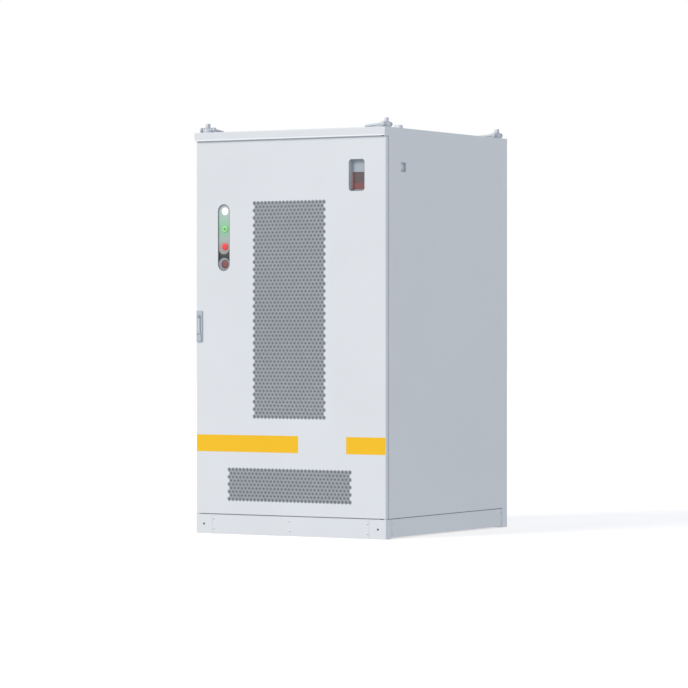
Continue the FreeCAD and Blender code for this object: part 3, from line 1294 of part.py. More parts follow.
def build_cooling_unit():
    """The cooling unit on the door: casing, coil and two fans."""
    case_y = "(%s + cooler_deep / 2)" % DOOR_BACK_Y
    z = "tall_field_middle"
    outer = block("cooler_outer", ("0", case_y, z), ("cooler_wide", "cooler_deep", "cooler_high"))
    hollow = block("cooler_hollow", ("0", case_y + " - cooler_wall", z),
                   ("cooler_wide - 2 * cooler_wall", "cooler_deep",
                    "cooler_high - 2 * cooler_wall"))
    wall_y = "(%s + cooler_deep / 2)" % DOOR_BACK_Y
    divider = block("cooler_divider", ("0", wall_y, z),
                    ("cooler_wide - cooler_wall", "cooler_wall", "cooler_high - cooler_wall"))
    fan_z = "(tall_field_middle + fan_rise)"
    inlet = prism("cooler_inlet", ("0", "%s + 0.6 * cooler_deep" % DOOR_BACK_Y, fan_z),
                  "fan_across + 2 * fan_clear", "cooler_deep", "+y", 24)
    outlet_z = "(tall_field_middle - cooler_high / 2 + outlet_rise)"
    outlet = block("cooler_outlet", ("0", "%s + cooler_deep" % DOOR_BACK_Y, outlet_z),
                   ("outlet_wide", "4 * cooler_wall", "outlet_high"))
    shell = cut("cooler_shell", outer, [hollow])
    case = cut("cooler_case_cut", join("cooler_join", [shell, divider]), [inlet, outlet])
    coil_y = "(%s + coil_thick / 2 + cooler_wall)" % DOOR_BACK_Y
    coil_z = "(tall_field_middle - cooler_high / 2 + coil_low + coil_high / 2)"
    subpart(block("coil_solid", ("0", coil_y, coil_z),
                  ("cooler_wide - 2 * cooler_wall", "coil_thick", "coil_high")),
            "condenser_coil")
    motors = []
    front_motor_y = "(%s - cooler_wall / 2)" % wall_y
    rear_motor_y = "(%s + cooler_wall / 2)" % wall_y
    for name, motor_y, axis in (("front", front_motor_y, "-y"), ("rear", rear_motor_y, "+y")):
        can = prism("motor_can_" + name, ("0", motor_y, fan_z), "fan_motor",
                    "fan_motor_long", axis)
        shaft = cylinder("motor_shaft_" + name, ("0", motor_y, fan_z), "fan_shaft",
                         "fan_motor_long + fan_depth", axis)
        motors.append(join("motor_" + name, [can, shaft]))
    subpart(join("cooler_with_motors", [case] + motors), "cooling_case")
    fan("condenser_fan", "%s - fan_motor_long - seat - fan_depth" % front_motor_y, fan_z)
    fan("circulation_fan", "%s + fan_motor_long + seat" % rear_motor_y, fan_z)


def fan(label, start_y, z):
    """A fan rotor: hub and pitched blades on one casting, in front of its motor."""
    hub = prism(label + "_hub", ("0", "0", "0"), "fan_hub", "fan_depth", "+y", 20)
    pieces = [hub]
    count = int(number("fan_blades"))
    long = "(fan_across / 2 - fan_hub / 4)"
    for index in range(count):
        blade = block(label + "_blade_%d" % index, ("0", "0", "fan_hub / 4 + %s / 2" % long),
                      ("fan_blade_wide", "fan_blade_thick", long))
        pitched = group(label + "_pitched_%d" % index, [blade])
        pitched.Placement = FreeCAD.Placement(Vector(0, 0, 0),
                                              Rotation(Vector(0, 0, 1), number("fan_angle")))
        turned = group(label + "_turned_%d" % index, [pitched])
        place(turned, "0", "fan_depth / 2", "0", Rotation(Vector(0, 1, 0), 360 / count * index))
        pieces.append(turned)
    bore = cylinder(label + "_bore", ("0", "-fan_depth", "0"), "fan_shaft + 2 * running",
                    "3 * fan_depth", "+y")
    rotor = cut(label + "_rotor", join(label + "_casting", pieces), [bore])
    place(rotor, "0", start_y, z)
    subpart(rotor, label)


def rack_uprights():
    """The four uprights of each column, standing on the cabinet floor."""
    front_y = "(-cabinet_depth / 2 + rack_front)"
    base_z = "(plinth_height + bottom_rail_high + floor_plate)"
    uprights = []
    half = "(module_wide / 2 + seat + rack_upright / 2)"
    for side, sx in SIDES:
        for place_name, sign in (("inner", "-"), ("outer", "+")):
            x = "%s(column_offset %s %s)" % (sx, sign, half)
            for row, y in (("front", front_y + " + rack_upright / 2"),
                           ("rear", front_y + " + module_deep - rack_upright / 2")):
                name = "upright_%s_%s_%s" % (side, place_name, row)
                uprights.append(block(name, (x, y, "(%s + rack_top) / 2" % base_z),
                                      ("rack_upright", "rack_upright", "rack_top - %s" % base_z)))
    return uprights


def build_modules():
    """The rack and the battery modules, each on a pair of shelf bars welded to the uprights."""
    front_y = "(-cabinet_depth / 2 + rack_front)"
    shelves = []
    for side, sx in SIDES:
        stack = []
        x = sx + "column_offset"
        for index in range(int(number("count_" + side))):
            low_z = "(module_base + %d * module_pitch)" % index
            stack.append(battery_module("%s_%d" % (side, index), x, front_y, low_z))
            shelves += shelf_pair("shelf_%s_%d" % (side, index), sx, front_y, low_z)
        subpart(group("stack_" + side, stack), "battery_modules_" + side)
    inverter_z = "(module_base + count_right * module_pitch)"
    shelves += shelf_pair("shelf_inverter", "", front_y, inverter_z)
    box_z = "(module_base + count_left * module_pitch)"
    shelves += shelf_pair("shelf_box", "-", front_y, box_z)
    subpart(group("rack_group", rack_uprights() + shelves), "module_rack")
    build_links(front_y)
    build_box(front_y, box_z)
    build_inverter(front_y, inverter_z)


def shelf_pair(name, sx, front_y, low_z):
    """Two flat shelf bars under one module, between the uprights."""
    pair = []
    wide = "(shelf_wide + seat + rack_upright)"
    for place_name, sign in (("inner", "-"), ("outer", "+")):
        x = "%s(column_offset %s ((module_wide - shelf_wide + seat + rack_upright) / 2))" % (sx, sign)
        pair.append(block(name + "_" + place_name,
                          (x, front_y + " + module_deep / 2", low_z + " - shelf_thick / 2"),
                          (wide, "module_deep - 2 * rack_upright", "shelf_thick")))
    return pair


def battery_module(name, x, front_y, low_z):
    """A closed module with sloped shoulders, a front plate with lugs and two grips."""
    case = doc.addObject("Part::Wedge", name + "_case")
    case.Xmin = 0
    case.Ymin = 0
    case.Zmin = 0
    bind(case, "Xmax", "module_wide")
    bind(case, "Zmax", "module_deep")
    bind(case, "Ymax", "module_high")
    bind(case, "X2min", "module_shoulder")
    bind(case, "X2max", "module_wide - module_shoulder")
    case.Z2min = 0
    bind(case, "Z2max", "module_deep")
    place(case, x + " - module_wide / 2", front_y + " + module_deep", low_z,
          Rotation(Vector(1, 0, 0), 90))
    plate = block(name + "_plate", (x, front_y + " - module_plate / 2",
                                    low_z + " + module_high / 2"),
                  ("module_wide + 2 * module_lap", "module_plate", "module_high"))
    pieces = [case, plate]
    for side, sign in (("left", "-"), ("right", "+")):
        grip_x = "(%s %s grip_from_middle)" % (x, sign)
        pieces.append(block("%s_grip_%s" % (name, side),
                            (grip_x, front_y + " - module_plate - grip_throw / 2",
                             low_z + " + module_high / 2"),
                            ("grip_wide", "grip_throw", "grip_high")))
    hollows = []
    for side, sign in (("left", "-"), ("right", "+")):
        grip_x = "(%s %s grip_from_middle)" % (x, sign)
        hollows.append(block("%s_grip_gap_%s" % (name, side),
                             (grip_x, front_y + " - module_plate - (grip_throw - grip_wide) / 2",
                              low_z + " + module_high / 2"),
                             ("2 * grip_wide", "grip_throw - grip_wide",
                              "grip_high - 2 * grip_wide")))
    return cut(name, join(name + "_join", pieces), hollows)


def build_links(front_y):
    """Insulated link bars that join each module to the next one up."""
    links = []
    for side, sx in SIDES:
        for index in range(int(number("count_" + side)) - 1):
            sign = "-" if index % 2 else "+"
            x = "(%scolumn_offset %s link_from_middle)" % (sx, sign)
            z = "(module_base + %d * module_pitch + module_high / 2 + module_pitch / 2)" % index
            links.append(block("link_%s_%d" % (side, index),
                               (x, front_y + " - module_plate - link_thick / 2", z),
                               ("link_wide", "link_thick", "module_pitch")))
    subpart(group("links_group", links), "module_links")


def build_box(front_y, low_z):
    """The switchgear and control box with its main breaker and toggle."""
    x = "(-column_offset)"
    case = block("box_case", (x, front_y + " + module_deep / 2", low_z + " + box_high / 2"),
                 ("module_wide", "module_deep", "box_high"))
    plate = block("box_plate", (x, front_y + " - module_plate / 2", low_z + " + box_high / 2"),
                  ("module_wide + 2 * module_lap", "module_plate", "box_high"))
    breaker_y = front_y + " - module_plate - breaker_deep / 2"
    breaker = block("box_breaker", (x, breaker_y, low_z + " + box_high / 2"),
                    ("breaker_wide", "breaker_deep", "breaker_high"))
    axis_y = "(%s - module_plate - breaker_deep + toggle_hub + sheet)" % front_y
    axis_z = "(%s + box_high / 2)" % low_z
    room = block("box_room", (x, front_y + " - module_plate - breaker_deep", axis_z),
                 ("toggle_wide + 2 * seat", "4 * (toggle_hub + sheet)", "3.6 * toggle_hub"))
    pin_hole = prism("box_pin_hole", (x + " - toggle_wide", axis_y, axis_z),
                     "(toggle_pin + 2 * running) / cos(15)", "2 * toggle_wide", "+x")
    subpart(cut("box_cut", join("box_join", [case, plate, breaker]), [room, pin_hole]),
            "control_box")
    hub = prism("toggle_hub_solid", ("-toggle_wide / 2", "0", "0"), "2 * toggle_hub",
                "toggle_wide", "+x")
    pin = cylinder("toggle_pin_solid", ("-0.9 * toggle_wide", "0", "0"), "toggle_pin",
                   "1.8 * toggle_wide", "+x")
    lever = block("toggle_lever", ("0", "-toggle_long / 2", "0"),
                  ("toggle_wide", "toggle_long", "toggle_hub"))
    toggle = join("toggle_join", [hub, pin, lever])
    place(toggle, x, axis_y, axis_z, Rotation(Vector(1, 0, 0), -number("toggle_angle")))
    subpart(toggle, "breaker_toggle")


def build_inverter(front_y, low_z):
    """The inverter: a closed case with a ribbed front."""
    x = "column_offset"
    case = block("inverter_case", (x, front_y + " + module_deep / 2",
                                   low_z + " + inverter_high / 2"),
                 ("module_wide", "module_deep", "inverter_high"))
    plate = block("inverter_plate", (x, front_y + " - module_plate / 2",
                                     low_z + " + inverter_high / 2"),
                  ("module_wide + 2 * module_lap", "module_plate", "inverter_high"))
    pieces = [case, plate]
    count = int(number("fin_count"))
    for index in range(count):
        z = "%s + inverter_high * 0.1 + %d * inverter_high * 0.05" % (low_z, index)
        pieces.append(block("inverter_rib_%d" % index,
                            (x, front_y + " - module_plate - grip_wide / 2", z),
                            ("0.8 * module_wide", "grip_wide", "inverter_high * 0.02")))
    subpart(join("inverter_join", pieces), "inverter")


def build_suppression():
    """A fire suppression canister that hangs from the right top rail."""
    top_z = "(%s - top_rail_high)" % PANEL_TOP
    rail_x = "(%s - post_width / 2)" % POST_X
    x = "(%s - bottle_across / 2)" % rail_x
    bottle = prism("bottle_solid", (x, "bottle_back", top_z + " - bottle_long"),
                   "bottle_across", "bottle_long", "+z", 16)
    neck = prism("bottle_neck", (x, "bottle_back", top_z + " - 1"), "bottle_across / 3",
                 "bottle_across / 2", "+z")
    strap = block("bottle_strap", (rail_x + " - bottle_across / 4", "bottle_back",
                                   top_z + " + bottle_across / 4"),
                  ("bottle_across / 2", "bottle_across / 3", "bottle_across / 6"))
    subpart(join("bottle_join", [bottle, neck, strap]), "fire_canister")


def check_and_write():
    """Stops if anything failed, then writes one file for each named piece."""
    doc.recompute()
    for thing in doc.Objects:
        for word in thing.State:
            if "Invalid" in word or "Error" in word:
                raise RuntimeError("%s is %s" % (thing.Name, word))
    os.makedirs("parts", exist_ok=True)
    solids = 0
    for thing in subparts:
        shape = thing.Shape
        if shape.isNull() or not shape.isValid() or not shape.Solids:
            raise RuntimeError(thing.Label + " has no valid solid")
        solids += len(shape.Solids)
        shape.exportStep("parts/%s.step" % thing.Label)
    print("%d pieces written, %d solids" % (len(subparts), solids))


def main():
    build_plinth()
    build_frame()
    build_side_panels()
    build_rear_panel()
    build_roof()
    build_roof_pod()
    build_hoist_rings()
    build_pivots()
    build_door_skin()
    build_screens()
    build_door_inside()
    build_status_panel()
    build_alarm()
    build_handle()
    build_rod_lock()
    build_cooling_unit()
    build_modules()
    build_suppression()
    check_and_write()


main()
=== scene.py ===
# %% [markdown]
# # An outdoor battery storage cabinet
# The real object is a white sheet-steel cabinet, a little taller than a person. It has one large
# door with a fine honeycomb of air holes, a swing handle, a slot with signal lamps and a stop
# button, an alarm behind a small window, four lifting rings on the roof and a plinth. The solids
# come ready-made from the construction model. This lesson dresses them: it replaces the pieces
# whose shape needs more detail, and gives every piece a finish made of shader nodes.

# %% Load the construction model as a fixed frame
import bmesh
import bpy
import math
from mathutils import Matrix, Vector
from mathutils.geometry import delaunay_2d_cdt


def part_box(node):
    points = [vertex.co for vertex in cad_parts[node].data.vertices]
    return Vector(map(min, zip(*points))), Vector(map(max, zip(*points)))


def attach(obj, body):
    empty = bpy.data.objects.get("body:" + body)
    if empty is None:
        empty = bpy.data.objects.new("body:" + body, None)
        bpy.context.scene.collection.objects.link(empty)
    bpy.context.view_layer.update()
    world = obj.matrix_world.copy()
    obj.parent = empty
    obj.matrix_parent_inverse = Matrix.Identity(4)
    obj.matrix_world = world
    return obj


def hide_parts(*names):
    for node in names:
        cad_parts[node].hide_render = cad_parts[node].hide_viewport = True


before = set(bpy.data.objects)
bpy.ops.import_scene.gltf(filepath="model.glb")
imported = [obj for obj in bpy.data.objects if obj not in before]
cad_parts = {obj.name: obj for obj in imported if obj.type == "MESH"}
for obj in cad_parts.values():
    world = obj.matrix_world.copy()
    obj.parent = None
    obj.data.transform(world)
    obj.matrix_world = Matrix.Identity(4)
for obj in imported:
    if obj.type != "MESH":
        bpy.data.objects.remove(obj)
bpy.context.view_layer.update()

# %% [markdown]
# The photograph was taken with a long lens from the right of the door, about a metre above the
# floor. The vertical edges are parallel in it, so the camera is level, and a small lens shift
# puts the horizon a little above the middle of the picture. A tilt would make the edges lean.

# %% Camera at the photograph's angle
lens_data = bpy.data.cameras.new("photo_camera")
lens_data.sensor_width = 36.0
lens_data.lens = 177.2
lens_data.shift_y = -0.0223
lens_data.clip_end = 120.0
camera = bpy.data.objects.new("photo_camera", lens_data)
camera.location = (8.9344, -15.2006, 1.0471)
camera.rotation_euler = (math.radians(90), 0, 0.5343)
bpy.context.scene.collection.objects.link(camera)
bpy.context.scene.camera = camera
bpy.context.scene.view_settings.view_transform = "Standard"
print("camera stands", round(camera.location.length, 2), "m away")

# %% [markdown]
# A finish is a Principled shader whose colour, roughness and bump come from noise at the scale of
# the real surface. Powder coat has a faint orange-peel skin, zinc has a soft mottle, and moulded
# plastic has a fine grain. One helper wires up those nodes, so each finish below only says how
# it differs. Object coordinates keep the grain fixed to the piece as it moves.

# %% Helpers that add shader nodes
def new_finish(name):
    """A new node material; returns (material, node tree, main shader)."""
    finish = bpy.data.materials.new(name)
    finish.use_nodes = True
    tree = finish.node_tree
    shader = [n for n in tree.nodes if n.type == "BSDF_PRINCIPLED"][0]
    return finish, tree, shader


def preset(node, **values):
    """Sets a node's inputs by name; an underscore stands for a space."""
    for name, value in values.items():
        node.inputs[name.replace("_", " ")].default_value = value
    return node


def add(tree, kind, **values):
    """Adds a shader node and sets its inputs."""
    return preset(tree.nodes.new("ShaderNode" + kind), **values)


def noise(tree, scale, detail=2.0):
    """Noise in object coordinates; scale is in waves per metre."""
    place = add(tree, "TexCoord")
    grain = add(tree, "TexNoise", Scale=scale, Detail=detail)
    tree.links.new(place.outputs["Object"], grain.inputs["Vector"])
    return grain.outputs["Fac"]


print("node helpers are ready")

# %% Helpers that tint, gloss and grain a surface
def tint(tree, shader, value, low, high, start=0.35, end=0.65):
    """Colours a surface by a value, in a blend of two colours."""
    blend = add(tree, "ValToRGB")
    for stop, position, colour in zip(blend.color_ramp.elements, (start, end), (low, high)):
        stop.position = position
        stop.color = (*colour, 1)
    tree.links.new(value, blend.inputs["Fac"])
    tree.links.new(blend.outputs["Color"], shader.inputs["Base Color"])


def gloss(tree, shader, rough, scale, detail=2.0):
    """Uneven roughness, 0.05 to either side of its mean."""
    mapped = add(tree, "MapRange", To_Min=rough - 0.05, To_Max=rough + 0.05)
    tree.links.new(noise(tree, scale, detail), mapped.inputs["Value"])
    tree.links.new(mapped.outputs["Result"], shader.inputs["Roughness"])


def bump(tree, shader, height, depth):
    """Fine relief, depth in metres."""
    relief = add(tree, "Bump", Distance=depth, Strength=1.0)
    tree.links.new(height, relief.inputs["Height"])
    tree.links.new(relief.outputs["Normal"], shader.inputs["Normal"])


def shade(colour, factor):
    """A colour made darker or lighter."""
    return tuple(min(1.0, part * factor) for part in colour)


def coated(name, colour, rough=0.42, metal=0.0, vary=0.03, grain=700, depth=0.00008, spec=0.5):
    """A coated or moulded surface: soft colour drift, uneven gloss and a fine grain."""
    finish, tree, shader = new_finish(name)
    tint(tree, shader, noise(tree, 2.5, 3.0), shade(colour, 1 - vary), shade(colour, 1 + vary))
    gloss(tree, shader, rough, 14.0, 4.0)
    preset(shader, Metallic=metal, Specular_IOR_Level=spec)
    bump(tree, shader, noise(tree, grain), depth)
    return finish


print("finish helpers are ready")

# %% [markdown]
# The casing is white powder coat with a cool tint, the same on the door, roof, sides and plinth;
# the roof's lower hem is a whiter strip, a painted highlight along the fascia's rounded edge. The
# inner steel is zinc plated: a metal whose tone changes in soft patches. The hidden inside gets the
# plain finishes that such equipment has, so the open door is worth looking at too.

# %% Finishes of the casing and the steel
casing_paint = coated("casing_paint", (0.785, 0.80, 0.835), rough=0.42, vary=0.012, grain=520)
# Painted highlight: the whiter hem stands in for light caught by the fascia's rounded lower edge.
hem_painted_highlight = coated("hem_painted_highlight", (0.97, 0.97, 0.98), rough=0.3, vary=0.01, grain=520)
handle_paint = coated("handle_paint", (0.50, 0.54, 0.60), rough=0.38, vary=0.02)
stripe_yellow = coated("stripe_yellow", (1.0, 0.57, 0.020), rough=0.62, vary=0.012, grain=900, spec=0.2)
inner_grey = coated("inner_grey", (0.272, 0.29, 0.313), rough=0.5, vary=0.03)
lever_paint = coated("lever_paint", (0.60, 0.625, 0.67), rough=0.36, vary=0.02, grain=520)
zinc_plate = coated("zinc_plate", (0.60, 0.62, 0.65), rough=0.36, metal=0.9, vary=0.10, grain=160,
                    depth=0.00003)
ring_steel = coated("ring_steel", (0.62, 0.65, 0.695), rough=0.48, metal=0.12, vary=0.08, grain=420,
                    depth=0.0001)
polished_lock = coated("polished_lock", (0.82, 0.83, 0.85), rough=0.16, metal=1.0, vary=0.02)
print("casing finishes:", casing_paint.name, stripe_yellow.name, zinc_plate.name)

# %% Finishes of the inside and of small parts
seal_rubber = coated("seal_rubber", (0.025, 0.025, 0.027), rough=0.7, vary=0.15, grain=900)
cooler_grey = coated("cooler_grey", (0.48, 0.50, 0.53), rough=0.45, vary=0.03)
module_grey = coated("module_grey", (0.10, 0.11, 0.13), rough=0.45, vary=0.06)
equipment_grey = coated("equipment_grey", (0.42, 0.45, 0.49), rough=0.45, vary=0.04)
fan_black = coated("fan_black", (0.022, 0.022, 0.025), rough=0.5, vary=0.1, grain=600)
link_orange = coated("link_orange", (0.80, 0.23, 0.02), rough=0.5, vary=0.04)
canister_red = coated("canister_red", (0.48, 0.025, 0.02), rough=0.25, vary=0.03)
gland_black = coated("gland_black", (0.035, 0.036, 0.04), rough=0.5, vary=0.1)
breather_grey = coated("breather_grey", (0.62, 0.66, 0.71), rough=0.5, vary=0.04)
gasket_grey = coated("gasket_grey", (0.30, 0.32, 0.345), rough=0.7, vary=0.08)
collar_grey = coated("collar_grey", (0.68, 0.70, 0.72), rough=0.6, vary=0.03)
tray_grey = coated("tray_grey", (0.50, 0.52, 0.55), rough=0.5, vary=0.03)
print("inside and small finishes:", module_grey.name, cooler_grey.name, seal_rubber.name)

# %% [markdown]
# Behind the honeycomb lies a grey filter mat. Its surface is a woven wire and fleece layer, so a
# fine voronoi pattern darkens it in small dots, and the same pattern drives the bump. The cooling
# coil is a stack of thin fins: a wave texture across the block paints shade into the gaps between them.

# %% Finishes of the filter mat and the coil
def filter_finish():
    finish, tree, shader = new_finish("filter_mat")
    place = add(tree, "TexCoord")
    weave = add(tree, "TexVoronoi", Scale=260.0)
    tree.links.new(place.outputs["Object"], weave.inputs["Vector"])
    tint(tree, shader, weave.outputs["Distance"], (0.035, 0.04, 0.045), (0.09, 0.10, 0.11), 0.1, 0.7)
    preset(shader, Roughness=0.85)
    bump(tree, shader, weave.outputs["Distance"], 0.001)
    return finish


def coil_finish():
    finish, tree, shader = new_finish("coil_fins")
    place = add(tree, "TexCoord")
    fins = add(tree, "TexWave", Scale=90.0, Distortion=0.4)
    fins.bands_direction = "X"
    tree.links.new(place.outputs["Object"], fins.inputs["Vector"])
    # Painted shade: dark bands stand for the shade in the gaps between the fins.
    tint(tree, shader, fins.outputs["Fac"], (0.07, 0.07, 0.075), (0.58, 0.60, 0.62), 0.2, 0.7)
    preset(shader, Metallic=0.7, Roughness=0.45)
    bump(tree, shader, fins.outputs["Fac"], 0.001)
    return finish


filter_mat = filter_finish()
coil_fins = coil_finish()
print("patterned finishes:", filter_mat.name, coil_fins.name)

# %% [markdown]
# Many pieces start as a flat outline: a plate with holes, a strip, a frame. A constrained Delaunay
# fill covers such an outline with triangles, holes included. A Solidify modifier then gives it
# its thickness, and a Bevel its rounded edges. A boolean for each of a thousand holes would be
# far slower and would leave a messy mesh.

# %% Helpers that make a piece and fill an outline
def finish_piece(name, form, finish, body, sharp=35):
    """A piece that rides on a body; with sharp 0 every face is shaded flat."""
    mesh = bpy.data.meshes.new(name)
    form.to_mesh(mesh)
    form.free()
    for face in mesh.polygons:
        face.use_smooth = sharp > 0
    mesh.set_sharp_from_angle(angle=math.radians(sharp))
    piece = bpy.data.objects.new(name, mesh)
    bpy.context.scene.collection.objects.link(piece)
    mesh.materials.append(finish)
    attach(piece, body)
    return piece


def filled(form, outer, holes, y, flip=False):
    """Fills an outline with convex holes, all lists of (u, v), by faces in the plane y."""
    points = []
    edges = []
    loop_of = []
    for number, loop in enumerate([outer, *holes]):
        first = len(points)
        count = len(loop)
        points += [Vector(point) for point in loop]
        loop_of += [number] * count
        edges += [(first + i, first + (i + 1) % count) for i in range(count)]
    found = delaunay_2d_cdt(points, edges, [], 1, 1e-7)
    owner = [loop_of[source[0]] if source else 0 for source in found[3]]
    made = [form.verts.new((u, y, v)) for u, v in found[0]]
    for triangle in found[2]:
        owners = {owner[i] for i in triangle}
        if len(owners) > 1 or owners == {0}:
            form.faces.new([made[i] for i in (reversed(triangle) if flip else triangle)])


print("piece helpers are ready")

# %% Helpers that draw outlines
def ring_points(middle_u, middle_v, radius, count, turn=0.0):
    """A regular polygon or circle."""
    return [(middle_u + radius * math.cos(turn + 2 * math.pi * i / count),
             middle_v + radius * math.sin(turn + 2 * math.pi * i / count)) for i in range(count)]


def rectangle(u0, v0, u1, v1):
    """A rectangle, as a list of (u, v)."""
    return [(u0, v0), (u1, v0), (u1, v1), (u0, v1)]


def rounded_box(u0, v0, u1, v1, radius, steps=8):
    """A rectangle with round corners, as a list of (u, v)."""
    points = []
    for cu, cv, start in ((u1 - radius, v1 - radius, 0), (u0 + radius, v1 - radius, 90),
                          (u0 + radius, v0 + radius, 180), (u1 - radius, v0 + radius, 270)):
        for i in range(steps + 1):
            angle = math.radians(start + 90 * i / steps)
            points.append((cu + radius * math.cos(angle), cv + radius * math.sin(angle)))
    return points


print("outline helpers are ready")

# %% Helpers that round and thicken a piece
def soften(piece, width, segments=2):
    """Rounds the sharp edges of a piece."""
    rounding = piece.modifiers.new("rounding", "BEVEL")
    rounding.width = width
    rounding.segments = segments
    rounding.limit_method = "ANGLE"
    rounding.angle_limit = math.radians(40)
    rounding.harden_normals = True


def thicken(piece, thickness):
    """Gives a surface its thickness, away from its outer side."""
    sheet = piece.modifiers.new("sheet", "SOLIDIFY")
    sheet.thickness = thickness
    sheet.offset = -1.0
    sheet.use_even_offset = True
    return piece


print("modifier helpers are ready")

# %% [markdown]
# The door is one sheet of steel with about 1,450 punched hexagons in two fields, a slot, a window
# and a hole for the handle's spindle. The rows are staggered, so every web has the same width.
# The whole face is filled in one go, then folded back round its edge with a small bend radius,
# and it stands for the door skin and both screens of the construction model.

# %% Where the honeycomb holes are
PITCH = 0.02160
ROW_STEP = 0.01866
FLATS = 0.0207
FIELD_X = -0.0040


def honeycomb(middle_v, columns, rows):
    """Outlines of staggered upright hexagons, longest rows first and last."""
    cells = []
    for row in range(rows):
        in_row = columns - row % 2
        v = middle_v + (row - (rows - 1) / 2) * ROW_STEP
        for column in range(in_row):
            u = FIELD_X + (column - (in_row - 1) / 2) * PITCH
            cells.append(ring_points(u, v, FLATS / math.sqrt(3), 6, math.pi / 2))
    return cells


tall_holes = honeycomb(1.1421, 20, 59)
low_holes = honeycomb(0.2542, 34, 9)
print("holes:", len(tall_holes), "+", len(low_holes))

# %% Door sheet: filled face, bend, return and back flange
DOOR_Y = -0.640
HANDLE_X = -0.539
HUB_Z = 1.0015


def folded_sheet(u0, v0, u1, v1, depth, bend, flange, holes, flange_holes):
    """A pan folded from one sheet, with its face in the plane of the door."""
    form = bmesh.new()
    filled(form, rectangle(u0 + bend, v0 + bend, u1 - bend, v1 - bend), holes, DOOR_Y)
    steps = 4
    loops = []
    for i in range(steps + 1):
        angle = math.radians(90 * i / steps)
        reach = bend * math.sin(angle)
        loops.append((rounded_box(u0 + bend - reach, v0 + bend - reach, u1 - bend + reach,
                                  v1 - bend + reach, reach, 4), bend * (1 - math.cos(angle))))
    loops.append((loops[-1][0], depth))
    rows = [[form.verts.new((u, DOOR_Y + back, v)) for u, v in loop] for loop, back in loops]
    for first, second in zip(rows, rows[1:]):
        count = len(first)
        for i in range(count):
            j = (i + 1) % count
            form.faces.new([first[i], second[i], second[j], first[j]])
    inner = rectangle(u0 + flange, v0 + flange, u1 - flange, v1 - flange)
    filled(form, loops[-1][0], [inner] + flange_holes, DOOR_Y + depth, True)
    bmesh.ops.remove_doubles(form, verts=form.verts, dist=0.00002)
    bmesh.ops.recalc_face_normals(form, faces=form.faces)
    return form


status_slot = rounded_box(-0.430, 1.3405, -0.358, 1.6825, 0.0359, 12)
alarm_window = rounded_box(0.346, 1.7335, 0.438, 1.8935, 0.016, 8)
spindle_hole = ring_points(HANDLE_X, HUB_Z, 0.0068, 24)
door_form = folded_sheet(-0.560, 0.102, 0.560, 2.0025, depth=0.024, bend=0.003, flange=0.056,
                         holes=tall_holes + low_holes + [status_slot, alarm_window, spindle_hole],
                         flange_holes=[spindle_hole])
door_sheet = finish_piece("door_sheet", door_form, casing_paint, "door", 0)
thicken(door_sheet, 0.002)
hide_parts("door_skin", "door_flange", "door_screens")
print("door sheet has", len(door_sheet.data.polygons), "faces before it is thickened")

# %% [markdown]
# A second, finer screen lies behind the honeycomb and keeps insects out: a grey sheet with one
# small hole in the middle of each hexagon. From a few metres away this is what turns the field
# into an even grey with small dark dots.

# %% Inner screens
def inner_screen(name, middle_v, holes):
    """A thin sheet behind one field, with a small hole behind each hexagon."""
    middles = [(sum(u for u, v in hole) / 6, sum(v for u, v in hole) / 6) for hole in holes]
    reach_u = max(abs(u) for u, v in middles) + 0.0130
    reach_v = max(abs(v - middle_v) for u, v in middles) + 0.0130
    form = bmesh.new()
    filled(form, rectangle(-reach_u, middle_v - reach_v, reach_u, middle_v + reach_v),
           [ring_points(u, v, 0.0038, 6) for u, v in middles], DOOR_Y + 0.00155)
    bmesh.ops.recalc_face_normals(form, faces=form.faces)
    piece = finish_piece(name, form, inner_grey, "door", 0)
    return thicken(piece, 0.0003)


tall_screen = inner_screen("inner_screen_tall", 1.1405, tall_holes)
low_screen = inner_screen("inner_screen_low", 0.2548, low_holes)
print("inner screens:", tall_screen.name, low_screen.name)

# %% [markdown]
# A yellow band of film crosses the door at knee height, in two pieces with bare paint between
# them. Film is a real layer, a fraction of a millimetre thick, so it is a thin piece of its own
# and not a painted mask. It stays crisp at any size.

# %% Yellow bands
def band(name, u0, u1):
    """One piece of the film, from u0 to u1."""
    form = bmesh.new()
    corners = rectangle(u0, 0.4200, u1, 0.5060)
    form.faces.new([form.verts.new((u, DOOR_Y - 0.00018, v)) for u, v in corners])
    piece = finish_piece(name, form, stripe_yellow, "door", 0)
    return thicken(piece, 0.00017)


band_left = band("band_left", -0.5572, 0.050)
band_right = band("band_right", 0.331, 0.5572)
print("bands:", band_left.name, band_right.name)

# %% [markdown]
# Knobs, lamps, screws and bolt heads are turned parts: a profile swept round an axis. The helper
# takes the profile as (radius, distance along the axis) pairs, so each part is drawn the way it
# would be cut on a lathe. Two more helpers make a plate from any outline, and a plain box.

# %% Helper for turned parts
TURNS = {"-y": Matrix.Rotation(math.radians(90), 3, "X"),
         "+y": Matrix.Rotation(math.radians(-90), 3, "X"),
         "+x": Matrix.Rotation(math.radians(90), 3, "Y"),
         "-x": Matrix.Rotation(math.radians(-90), 3, "Y"),
         "+z": Matrix.Identity(3)}


def turned(form, start, axis, profile, steps=40):
    """Adds a turned part to a mesh. The profile begins and ends on the axis or is a ring."""
    rows = []
    for radius, along in profile:
        if radius < 1e-7:
            rows.append([form.verts.new(Vector(start) + TURNS[axis] @ Vector((0, 0, along)))])
            continue
        row = []
        for i in range(steps):
            angle = 2 * math.pi * i / steps
            spot = Vector((radius * math.cos(angle), radius * math.sin(angle), along))
            row.append(form.verts.new(Vector(start) + TURNS[axis] @ spot))
        rows.append(row)
    for first, second in zip(rows, rows[1:]):
        for i in range(steps):
            j = (i + 1) % steps
            corners = []
            for row, index in ((first, i), (first, j), (second, j), (second, i)):
                corner = row[index % len(row)]
                if corner not in corners:
                    corners.append(corner)
            if len(corners) > 2:
                form.faces.new(corners)
    return form


print("axes for turned parts:", list(TURNS))

